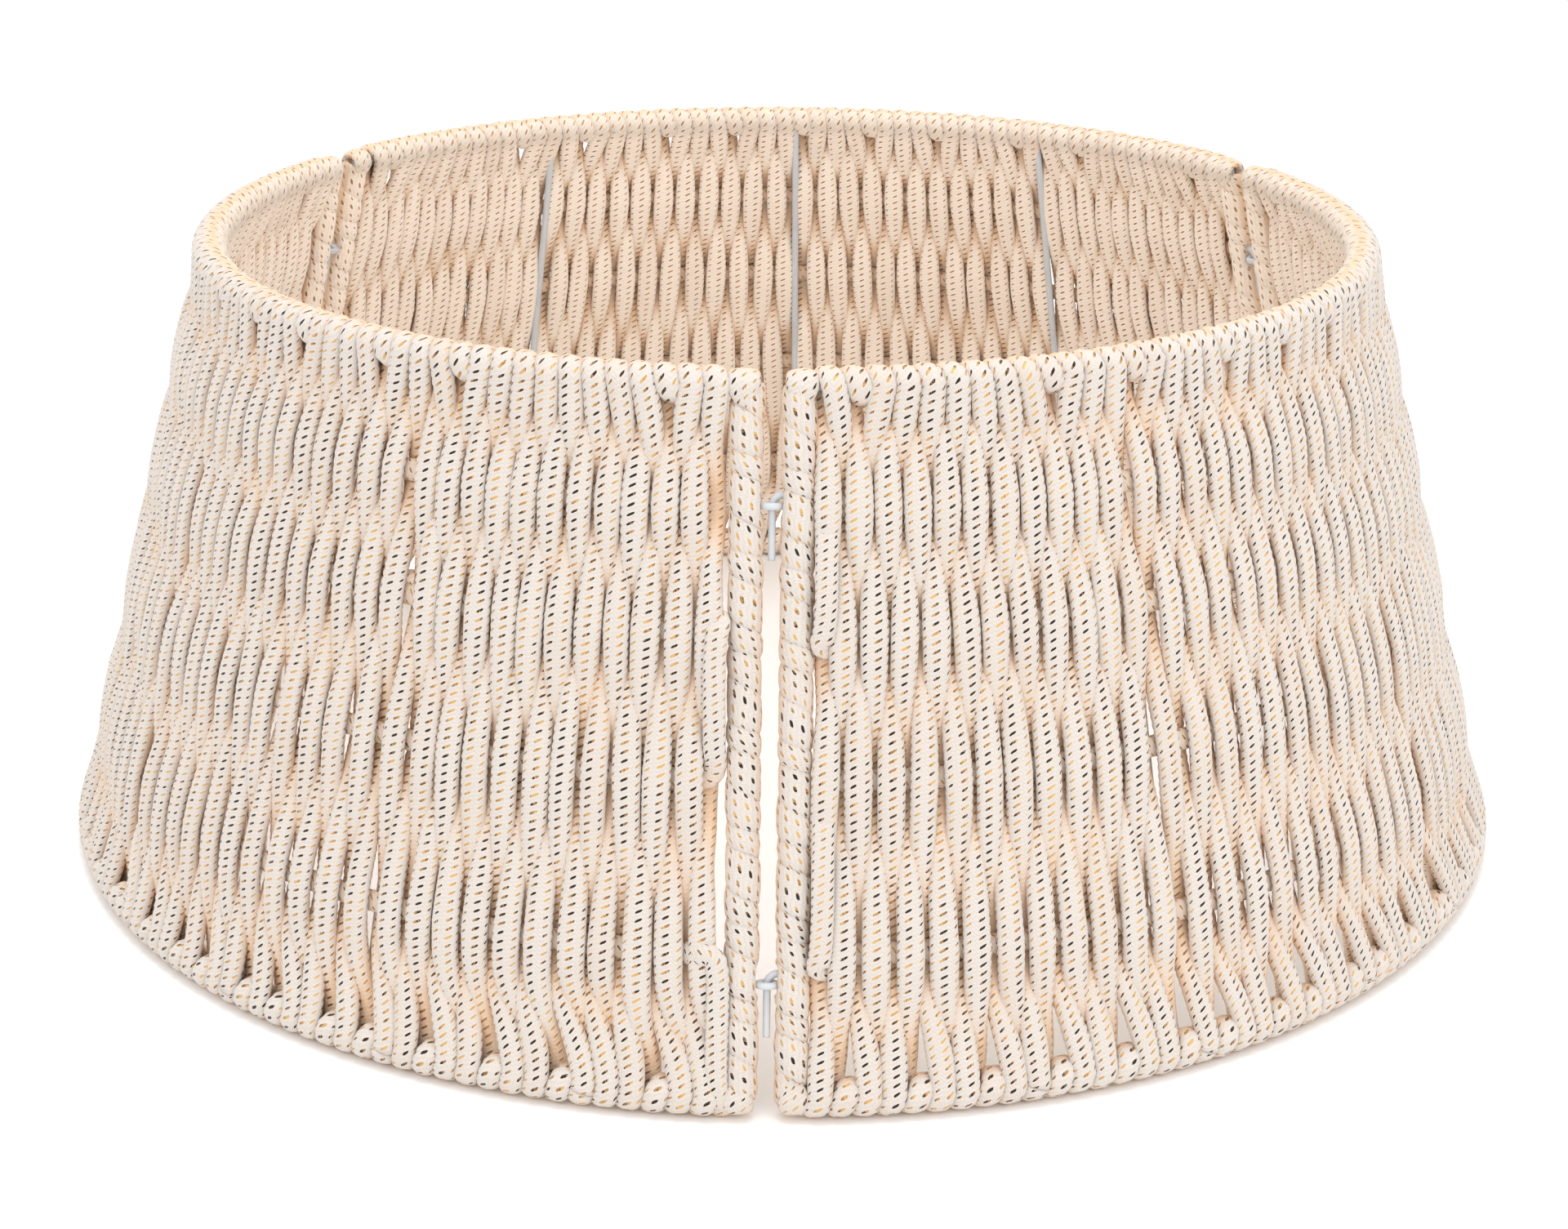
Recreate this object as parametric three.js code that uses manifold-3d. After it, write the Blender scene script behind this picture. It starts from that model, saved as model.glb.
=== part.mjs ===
// Woven tree collar: a low cone, open at both ends, that stands round the foot of a Christmas tree.
// Three like panels are hinged into a ring. Each panel is a welded wire frame with a braided cord woven
// over it: warp legs looped round both rails, one weft cord snaking between them in four rows, and a
// cord wrapped round each end upright. Drop pins at one end of a panel stand in wire eyes on the next.
// Millimetres, +Z up. The origin is on the floor in the middle of the ring, and -Y faces the seam that
// is opened to lay the collar round a trunk. A panel is built from the seam at -Y round towards +X.
import * as THREE from 'three';
import { mergeVertices } from 'three/addons/utils/BufferGeometryUtils.js';
import Module from 'manifold-3d';

const wasm = await Module();
wasm.setup();

// ---- driving dimensions ----
const bottomOuterRadius = 330; // over the cord at the floor
const topOuterRadius = 262.85; // over the cord at the upper rim
const collarHeight = 274.65;
const wallRadius = 8; // half the thickness of the woven wall, rounded over both rails
const standFlat = 7; // width of cord pressed flat on the floor
const railWire = 3.5; // diameter of rails and end uprights
const ribWire = 3.4; // diameter of the ribs between the rails
const pinWire = 2.9; // diameter of the hinge hooks
const eyeWire = 2.8; // diameter of the wire rings
const ribsPerPanel = 3;
const wrapDiameter = 13.2; // over the cord wound round an end upright
const seamGap = 6; // free width between the wraps of neighbouring panels
const weftRows = 4;
const topWeftDrop = 50.65; // from the upper rim down to the first row
const bottomWeftRise = 60.5; // from the floor up to the last row
const weftSpread = 1.18; // each space between rows is this many times the one above it
const weftWidth = 8; // up the wall
const weftThickness = 5; // through the wall
const turnWidth = 6; // of the weft where it runs from one row to the next
const upperHookDrop = 46.65; // from the upper rim down to the upper hooks' arms
const lowerHookRise = 54; // from the floor up to the lower hooks' arms
const pinDrop = 25; // from a hook's arm down to the end of its pin
const pinPlay = 0.55; // clear all round a pin in its eye
const bendOver = 0.8; // a hook's bend is this much wider than the ring under it
const fit = 0.3; // gap where pieces rest against each other
const runningFit = 0.4; // gap round parts that turn
const ringSteps = 36; // facets round the whole ring
const wireSides = 8;
const wrapSides = 12;
const weftSides = 6;

// ---- places that follow from them ----
const panelAngle = (2 * Math.PI) / 3;
const bottomRail = new THREE.Vector2(bottomOuterRadius - wallRadius, wallRadius); // radius, height
const topRail = new THREE.Vector2(topOuterRadius - wallRadius, collarHeight - wallRadius);
const slant = topRail.clone().sub(bottomRail);
const slantLength = slant.length();
const lean = Math.atan2(-slant.x, slant.y); // of the wall from upright
const facetTurn = Math.tan(Math.PI / ringSteps); // how fast a facet falls away from its seam
const uprightSide = (seamGap + wrapDiameter) / 2; // from the seam's plane to an end upright
const wrapEdge = seamGap / 2 + wrapDiameter;
const turnSide = wrapEdge + fit + turnWidth / 2;
const weaveEdge = wrapEdge + 2 * fit + turnWidth;
const railEdge = uprightSide + railWire / 2 + fit;
const ribOut = -(railWire / 2 + fit + ribWire / 2); // ribs stand inside the rails
const weftOut = weftThickness / 2 - railWire / 2 + fit; // the weft passes outside the ribs
const eyeRadius = (pinWire + eyeWire) / 2 + pinPlay;
const hookBend = eyeRadius + bendOver; // on the wire's centre line

const alongAt = (z) => (z - bottomRail.y) / Math.cos(lean); // distance up the wall at a height
const roundOf = (sides) => 1 / Math.cos(Math.PI / sides); // corner to flat of a like polygon

// Heights of the weft's rows from the top one down, their spaces growing towards the floor.
function weftHeights() {
  const spaces = Array.from({ length: weftRows - 1 }, (_, i) => weftSpread ** i);
  const whole = spaces.reduce((sum, space) => sum + space, 0);
  const first = collarHeight - topWeftDrop;
  let passed = 0;
  const below = spaces.map((space) => {
    passed += space;
    return first - ((first - bottomWeftRise) * passed) / whole;
  });
  return [first, ...below];
}

// ---- solids ----
function solid(geometry) {
  const bare = geometry.clone();
  for (const name of ['normal', 'uv']) bare.deleteAttribute(name);
  const merged = mergeVertices(bare, 1e-4);
  const mesh = new wasm.Mesh({
    numProp: 3,
    vertProperties: new Float32Array(merged.attributes.position.array),
    triVerts: new Uint32Array(merged.index.array),
  });
  return new wasm.Manifold(mesh);
}

function geometryOf(body) {
  const mesh = body.getMesh();
  const geometry = new THREE.BufferGeometry();
  geometry.setAttribute('position', new THREE.BufferAttribute(mesh.vertProperties, 3));
  geometry.setIndex(new THREE.BufferAttribute(mesh.triVerts, 1));
  geometry.computeVertexNormals();
  return geometry;
}

const less = (body, cuts) => cuts.reduce((rest, cut) => rest.subtract(cut), body);
const joined = (bodies) => bodies.reduce((whole, body) => whole.add(body));

// A point of the wall's section (radius, height): a distance up the wall and one out of it.
function wallPoint(along, out) {
  return new THREE.Vector2(
    bottomRail.x - along * Math.sin(lean) + out * Math.cos(lean),
    bottomRail.y + along * Math.cos(lean) + out * Math.sin(lean),
  );
}

// A closed section turned once round the ring's axis. Its points run anticlockwise.
function ring(section) {
  const geometry = new THREE.LatheGeometry([...section, section[0]], ringSteps);
  return solid(geometry.rotateX(Math.PI / 2));
}

// An oval section lying in the wall, as wide up the wall as it is told and as deep through it.
function oval(along, out, width, depth, sides) {
  return Array.from({ length: sides }, (_, i) => {
    const angle = (2 * Math.PI * i) / sides;
    return wallPoint(along + (width / 2) * Math.sin(angle), out + (depth / 2) * Math.cos(angle));
  });
}

// The space of one panel, kept a set distance off the seam planes at both its ends.
function span(edge) {
  const reach = 2 * bottomOuterRadius;
  const start = new THREE.Vector2(0, -1);
  const end = new THREE.Vector2(Math.sin(panelAngle), -Math.cos(panelAngle));
  const middle = start.clone().add(end);
  const apex = middle.clone().normalize().multiplyScalar(edge / Math.sin(panelAngle / 2));
  const corners = [
    apex,
    apex.clone().addScaledVector(start, reach),
    apex.clone().addScaledVector(middle, reach),
    apex.clone().addScaledVector(end, reach),
  ];
  const tall = 2 * collarHeight;
  const wedge = new THREE.ExtrudeGeometry(new THREE.Shape(corners), { depth: tall, bevelEnabled: false });
  return solid(wedge.translate(0, 0, -collarHeight / 2));
}

// The frame of a line that runs up the wall beside a seam: X along the ring, -Y out, Z up the wall.
// end is 0 at the panel's pin end and 1 at its eye end, and side is measured into the panel.
function beside(end, side) {
  const inward = end ? -side : side;
  const foot = new THREE.Vector3(inward, -(bottomRail.x - side * facetTurn), bottomRail.y);
  const frame = new THREE.Matrix4().makeRotationZ(end * panelAngle);
  frame.multiply(new THREE.Matrix4().makeTranslation(foot));
  return frame.multiply(new THREE.Matrix4().makeRotationX(-lean));
}

// A round bar along Z between two heights.
function bar(radius, from, to, sides = wireSides) {
  const geometry = new THREE.CylinderGeometry(radius, radius, to - from, sides);
  return geometry.rotateX(Math.PI / 2).translate(0, 0, (from + to) / 2);
}

// A round bar along X at a height, from the middle of a seam into the panel at one of its sides.
function arm(end, radius, reach, height) {
  const geometry = new THREE.CylinderGeometry(radius, radius, reach, wireSides).rotateZ(Math.PI / 2);
  return geometry.translate(((end ? -1 : 1) * reach) / 2, 0, height);
}

// ---- wire frame ----
const railSection = (along, grow = 0) => oval(along, 0, railWire + grow, railWire + grow, wireSides);
const wireFit = fit * roundOf(wireSides);
const railBores = [0, slantLength].map((along) => ring(railSection(along, 2 * wireFit)));

const rail = (along) => ring(railSection(along)).intersect(span(railEdge));

function upright(end) {
  const wire = bar(railWire / 2, -railWire / 2, slantLength + railWire / 2);
  return solid(wire.applyMatrix4(beside(end, uprightSide)));
}

// Ribs stand against the inner side of both rails, spaced evenly along the panel.
function ribFrame(number) {
  const angle = (panelAngle * number) / (ribsPerPanel + 1);
  return new THREE.Matrix4().makeRotationZ(angle).multiply(beside(0, 0));
}

function rib(number) {
  const wire = bar(ribWire / 2, -railWire / 2, slantLength + railWire / 2).translate(0, -ribOut, 0);
  return solid(wire.applyMatrix4(ribFrame(number)));
}

function ribSlot(number) {
  const floor = ribOut + ribWire / 2 + 2 * fit; // deep enough to open into the weft's passages
  const depth = 2 * wallRadius;
  const slot = new THREE.BoxGeometry(ribWire + 2 * fit, depth, slantLength + railWire + 2 * fit);
  slot.translate(0, depth / 2 - floor, slantLength / 2); // out through the wall's inner face
  return solid(slot.applyMatrix4(ribFrame(number)));
}

// ---- hinges: every pin and eye lies on the line down the middle of its seam ----
const hookHeights = { upper: collarHeight - upperHookDrop, lower: lowerHookRise };
const armAt = (place) => alongAt(hookHeights[place]);
const eyeAt = (place) => armAt(place) - hookBend;
const toUpright = uprightSide - railWire / 2 - fit;

function dropPin(place) {
  const bend = Array.from({ length: 7 }, (_, i) => {
    const angle = (Math.PI / 12) * i;
    return new THREE.Vector3(hookBend * (1 - Math.sin(angle)), 0, hookBend * (Math.cos(angle) - 1));
  });
  const points = [
    new THREE.Vector3(toUpright, 0, 0),
    new THREE.Vector3((toUpright + hookBend) / 2, 0, 0),
    ...bend,
    new THREE.Vector3(0, 0, -(hookBend + pinDrop) / 2),
    new THREE.Vector3(0, 0, -pinDrop),
  ];
  const section = new THREE.Shape(
    Array.from({ length: wireSides }, (_, i) => {
      const angle = (2 * Math.PI * i) / wireSides;
      return new THREE.Vector2(Math.cos(angle), Math.sin(angle)).multiplyScalar(pinWire / 2);
    }),
  );
  const path = new THREE.CatmullRomCurve3(points, false, 'centripetal');
  const wire = new THREE.ExtrudeGeometry(section, { steps: 14, extrudePath: path });
  return solid(wire.translate(0, 0, armAt(place)).applyMatrix4(beside(0, 0)));
}

function pinEye(place) {
  const loop = new THREE.TorusGeometry(eyeRadius, eyeWire / 2, wireSides, 14);
  const stem = arm(1, eyeWire / 2, toUpright - eyeRadius, 0).translate(-eyeRadius, 0, 0);
  const eye = joined([solid(loop), solid(stem)]);
  const frame = beside(1, 0).multiply(new THREE.Matrix4().makeTranslation(0, 0, eyeAt(place)));
  return solid(geometryOf(eye).applyMatrix4(frame));
}

// ---- cord ----
// The cord wound round an end upright is parted where a hook or an eye comes through it.
function edgeWrap(end) {
  const reach = slantLength + 2 * wallRadius;
  const sleeve = bar(wrapDiameter / 2, -2 * wallRadius, reach, wrapSides);
  const bore = bar(railWire / 2 + wireFit, -railWire / 2 - fit, slantLength + railWire / 2 + fit);
  const upFrame = beside(end, uprightSide);
  const seamFrame = beside(end, 0);
  const cuts = [solid(bore.applyMatrix4(upFrame))];
  for (const place of Object.keys(hookHeights)) {
    const lowest = eyeAt(place) - eyeWire / 2 - runningFit;
    const highest = armAt(place) + pinWire / 2 + runningFit;
    const turning = bar(eyeRadius + eyeWire / 2 + runningFit * roundOf(wireSides), lowest, highest);
    const height = end ? eyeAt(place) : armAt(place);
    const passage = arm(end, (end ? eyeWire : pinWire) / 2 + wireFit, uprightSide, height);
    cuts.push(solid(turning.applyMatrix4(seamFrame)), solid(passage.applyMatrix4(seamFrame)));
  }
  for (const bored of railBores) cuts.push(bored.intersect(span(uprightSide)));
  const side = 4 * bottomOuterRadius;
  const stand = new THREE.BoxGeometry(side, side, collarHeight).translate(0, 0, collarHeight / 2);
  return less(solid(sleeve.applyMatrix4(upFrame)).intersect(solid(stand)), cuts);
}

const weftSection = (z, grow = 0) =>
  oval(alongAt(z), weftOut, weftWidth + grow, weftThickness + grow, weftSides);

// The wall of warp legs: a slab rounded over both rails and pressed flat on the floor, with the
// rails and the weft passing through it and the ribs let into its inner face.
function warp() {
  const onCircle = (centre, degrees) => {
    const angle = THREE.MathUtils.degToRad(degrees);
    return new THREE.Vector2(Math.cos(angle), Math.sin(angle)).multiplyScalar(wallRadius).add(centre);
  };
  const tilt = THREE.MathUtils.radToDeg(lean);
  const section = [
    new THREE.Vector2(bottomRail.x - standFlat / 2, 0),
    new THREE.Vector2(bottomRail.x + standFlat / 2, 0),
    ...[318, 360, 360 + tilt].map((degrees) => onCircle(bottomRail, degrees)),
    ...[tilt, 52, 90, 134, 180 + tilt].map((degrees) => onCircle(topRail, degrees)),
    ...[180 + tilt, 222].map((degrees) => onCircle(bottomRail, degrees)),
  ];
  const cuts = [
    ...railBores,
    ...weftHeights().map((z) => ring(weftSection(z, 2 * fit * roundOf(weftSides)))),
    ...Array.from({ length: ribsPerPanel }, (_, i) => ribSlot(i + 1)),
  ];
  return less(ring(section).intersect(span(weaveEdge)), cuts);
}

// One cord in four rows, turned from row to row beside the wraps: at the pin end below the first and
// third rows, at the eye end below the second.
function weft() {
  const heights = weftHeights();
  const rows = heights.map((z) => ring(weftSection(z)).intersect(span(turnSide)));
  const turns = heights.slice(1).map((lower, i) => {
    const geometry = bar(1, alongAt(lower) - weftWidth / 4, alongAt(heights[i]) + weftWidth / 4);
    geometry.scale(turnWidth / 2, weftThickness / 2, 1).translate(0, -weftOut, 0);
    return solid(geometry.applyMatrix4(beside(i % 2, turnSide)));
  });
  return joined([...rows, ...turns]);
}

// ---- the collar ----
const wireCoat = new THREE.MeshStandardMaterial({ color: 0xdde1e4, roughness: 0.45, metalness: 0.1 });
const cordBraid = new THREE.MeshStandardMaterial({ color: 0xefe7dd, roughness: 0.9, metalness: 0 });

const pieces = [
  ['top_rail', wireCoat, rail(slantLength)],
  ['bottom_rail', wireCoat, rail(0)],
  ['pin_end_upright', wireCoat, upright(0)],
  ['eye_end_upright', wireCoat, upright(1)],
  ['upper_pin', wireCoat, dropPin('upper')],
  ['lower_pin', wireCoat, dropPin('lower')],
  ['upper_eye', wireCoat, pinEye('upper')],
  ['lower_eye', wireCoat, pinEye('lower')],
  ['pin_end_wrap', cordBraid, edgeWrap(0)],
  ['eye_end_wrap', cordBraid, edgeWrap(1)],
  ['warp', cordBraid, warp()],
  ['weft', cordBraid, weft()],
];
for (let number = 1; number <= ribsPerPanel; number += 1) {
  pieces.push([`rib_${number}`, wireCoat, rib(number)]);
}
const shared = pieces.map(([name, material, body]) => [name, material, geometryOf(body)]);

const collar = new THREE.Group();
['right', 'back', 'left'].forEach((panelName, turn) => {
  const panel = new THREE.Group();
  panel.rotation.z = turn * panelAngle;
  for (const [name, material, geometry] of shared) {
    const mesh = new THREE.Mesh(geometry, material);
    mesh.name = `${panelName}_${name}`;
    panel.add(mesh);
  }
  collar.add(panel);
});

export default collar;
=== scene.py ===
"""Looks of a woven tree collar: braided cord over three hinged wire panels.

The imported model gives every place. Each panel is woven again here as it is made on the bench: one
warp cord wound over both rails, one weft cord in four rows, a cord wound round each end upright, and
smooth coated wire for the frame, the hooks and the rings.
"""

from __future__ import annotations

import logging
import math
from dataclasses import dataclass, field
from enum import Enum

import bpy
import numpy as np
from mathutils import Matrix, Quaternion, Vector

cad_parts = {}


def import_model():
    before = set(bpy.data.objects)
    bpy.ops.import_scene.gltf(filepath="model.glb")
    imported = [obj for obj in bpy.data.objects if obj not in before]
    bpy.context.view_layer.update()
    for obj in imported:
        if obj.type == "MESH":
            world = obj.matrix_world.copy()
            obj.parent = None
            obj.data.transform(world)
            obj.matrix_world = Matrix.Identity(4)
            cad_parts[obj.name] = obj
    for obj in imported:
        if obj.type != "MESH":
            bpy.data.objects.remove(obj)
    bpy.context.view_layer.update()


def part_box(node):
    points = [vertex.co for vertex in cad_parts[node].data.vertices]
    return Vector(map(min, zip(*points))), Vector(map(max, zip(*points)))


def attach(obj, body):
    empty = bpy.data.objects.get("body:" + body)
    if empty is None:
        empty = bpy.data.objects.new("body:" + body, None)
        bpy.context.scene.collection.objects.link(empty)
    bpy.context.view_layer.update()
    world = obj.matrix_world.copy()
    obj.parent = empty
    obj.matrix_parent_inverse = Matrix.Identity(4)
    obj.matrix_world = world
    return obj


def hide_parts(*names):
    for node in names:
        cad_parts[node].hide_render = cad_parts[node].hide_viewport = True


LOG = logging.getLogger("tree_collar")
MM = 0.001
BRAID_MAP = "braid"
BAKE_MAP = "OFBake"
END_SIZE = 0.35  # of a cord at its cut ends, as a share of its full size
Colour = tuple[float, float, float, float]
Socket = bpy.types.NodeSocket


@dataclass(frozen=True)
class Braid:
    """How the metallic flecks lie on the cord."""

    columns: int = 6  # of flecks round the cord
    pitch: float = 3.35 * MM  # from fleck to fleck along it
    relief: float = 0.16 * MM  # height of the strands between the flecks

    @property
    def step(self) -> float:
        """Length of cord between the mesh's rings, so that each strand has its own."""
        return self.pitch / 2

    def height(self, along: np.ndarray, around: np.ndarray) -> np.ndarray:
        """How far the strands stand out of the cord.

        Args:
            along: Lengths of cord.
            around: Shares of the way round it.

        Returns:
            Metres, lowest at the flecks.
        """
        across = np.cos(np.pi * (self.columns * around - 0.5))
        return self.relief * np.cos(2 * np.pi * along / self.pitch) * across


class Panel(Enum):
    """The three panels, anticlockwise from the seam that opens, seen from above."""

    RIGHT = 0
    BACK = 1
    LEFT = 2

    @property
    def label(self) -> str:
        """The panel's name in its nodes."""
        return self.name.lower()

    @property
    def body(self) -> str:
        """The CAD body that the panel's pieces ride on."""
        return f"{self.label}_panel"

    @property
    def turn(self) -> float:
        """Angle in radians from the right panel round the ring."""
        return self.value * 2 * math.pi / 3


class End(Enum):
    """The two ends of a panel."""

    PIN = 0
    EYE = 1


def unit(vectors: np.ndarray) -> np.ndarray:
    """Scales vectors to length one.

    Args:
        vectors: Rows of X, Y, Z.

    Returns:
        The same rows at unit length.
    """
    return vectors / np.linalg.norm(vectors, axis=-1, keepdims=True)


def turned(points: np.ndarray, angle: float) -> np.ndarray:
    """Turns points about the Z axis.

    Args:
        points: Rows of X, Y, Z.
        angle: Radians, anticlockwise from above.

    Returns:
        The turned rows.
    """
    c, s = math.cos(angle), math.sin(angle)
    return points @ np.array([[c, s, 0], [-s, c, 0], [0, 0, 1]])


def lengths_along(path: np.ndarray) -> np.ndarray:
    """Distance along a path at each of its points.

    Args:
        path: Rows of X, Y, Z.

    Returns:
        Distances in metres from the first point.
    """
    return np.concatenate([[0], np.cumsum(np.linalg.norm(np.diff(path, axis=0), axis=1))])


def evenly(rows: np.ndarray, places: np.ndarray, step: float) -> tuple[np.ndarray, np.ndarray]:
    """Spaces rows of values evenly along a path.

    Args:
        rows: Values to read, one row for each point of the path.
        places: The path's points.
        step: Distance between the new rows.

    Returns:
        The new rows, and their distances along the path.
    """
    along = lengths_along(places)
    at = np.arange(0, along[-1], step)
    return np.stack([np.interp(at, along, column) for column in rows.T], axis=1), at


def tapered(along: np.ndarray, ending: float) -> np.ndarray:
    """Shares of its full size that a cord has, where it narrows to its two ends.

    Args:
        along: Lengths of cord.
        ending: Length of each end.

    Returns:
        A share for each length.
    """
    return END_SIZE + (1 - END_SIZE) * eased(np.minimum(along, along[-1] - along) / ending)


def rounded_route(points: np.ndarray, per_span: int = 12) -> np.ndarray:
    """A smooth curve through points, by Catmull-Rom.

    Args:
        points: Rows of coordinates.
        per_span: New points for each span between two given ones.

    Returns:
        Rows of the curve's points.
    """
    padded = np.vstack([2 * points[0] - points[1], points, 2 * points[-1] - points[-2]])
    t = np.linspace(0, 1, per_span, endpoint=False)[:, None]
    spans = []
    for a, b, c, d in zip(padded[:-3], padded[1:-2], padded[2:-1], padded[3:], strict=True):
        curve = 2 * b + (c - a) * t + (2 * a - 5 * b + 4 * c - d) * t**2
        spans.append((curve + (3 * b - a - 3 * c + d) * t**3) / 2)
    return np.vstack([*spans, points[-1:]])


def eased(x: np.ndarray) -> np.ndarray:
    """Runs from 0 to 1 with level ends, as half a cosine.

    Args:
        x: Places from 0 to 1, cut off outside.

    Returns:
        The eased values.
    """
    return (1 - np.cos(np.pi * np.clip(x, 0, 1))) / 2


@dataclass(frozen=True)
class Wall:
    """The cone that the rails lie on, in the right panel's place."""

    bottom_radius: float
    bottom_height: float
    top_radius: float
    top_height: float
    upright_side: float
    panel_angle: float = 2 * math.pi / 3

    @classmethod
    def from_frame(cls) -> Wall:
        """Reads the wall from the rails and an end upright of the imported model.

        Returns:
            The wall.
        """
        sizes = []
        for node in ("back_bottom_rail", "back_top_rail"):
            low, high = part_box(node)
            sizes += [high.y - (high.z - low.z) / 2, (low.z + high.z) / 2]
        low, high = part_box("right_pin_end_upright")
        return cls(*sizes, upright_side=(low.x + high.x) / 2)

    @property
    def length(self) -> float:
        """Distance up the wall between the rails."""
        rise = self.top_height - self.bottom_height
        return math.hypot(self.bottom_radius - self.top_radius, rise)

    @property
    def sin_lean(self) -> float:
        """Sine of the wall's lean from upright."""
        return (self.bottom_radius - self.top_radius) / self.length

    @property
    def cos_lean(self) -> float:
        """Cosine of the wall's lean from upright."""
        return (self.top_height - self.bottom_height) / self.length

    def along_at(self, height: float) -> float:
        """Distance up the wall at a height above the floor."""
        return (height - self.bottom_height) / self.cos_lean

    def radius(self, along: np.ndarray) -> np.ndarray:
        """Radius of the wall's middle at distances up it."""
        return self.bottom_radius - along * self.sin_lean

    def point(self, angle: np.ndarray, along: np.ndarray, out: np.ndarray) -> np.ndarray:
        """Points of the wall.

        Args:
            angle: Radians round the ring from the opening seam.
            along: Distances up the wall from the bottom rail.
            out: Distances out of the wall.

        Returns:
            Rows of X, Y, Z.
        """
        radius = self.radius(along) + out * self.cos_lean
        height = self.bottom_height + along * self.cos_lean + out * self.sin_lean
        return np.stack([radius * np.sin(angle), -radius * np.cos(angle), height], axis=-1)

    def angle_in(self, end: End, side: np.ndarray, along: np.ndarray) -> np.ndarray:
        """Angle of places a set distance into the panel from one of its seams.

        Args:
            end: The panel's end that side is measured from.
            side: Distances from the seam's plane.
            along: Distances up the wall.

        Returns:
            Radians round the ring.
        """
        angle = np.arcsin(side / self.radius(along))
        return angle if end is End.PIN else self.panel_angle - angle

    def beside(self, end: End, side: np.ndarray, out: np.ndarray, along: np.ndarray) -> np.ndarray:
        """Points in the straight frame of a seam, for what runs up an end of a panel.

        Args:
            end: The panel's end.
            side: Distances into the panel from the seam's plane.
            out: Distances out of the wall.
            along: Distances up the wall.

        Returns:
            Rows of X, Y, Z.
        """
        inward = side if end is End.PIN else -side
        depth = -(self.radius(along) + out * self.cos_lean)
        height = self.bottom_height + along * self.cos_lean + out * self.sin_lean
        points = np.stack(np.broadcast_arrays(inward, depth, height), axis=-1)
        return points if end is End.PIN else turned(points, self.panel_angle)

    def up(self, end: End) -> np.ndarray:
        """Direction up the wall at one end of the panel."""
        direction = np.array([0, self.sin_lean, self.cos_lean])
        return direction if end is End.PIN else turned(direction, self.panel_angle)


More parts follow.
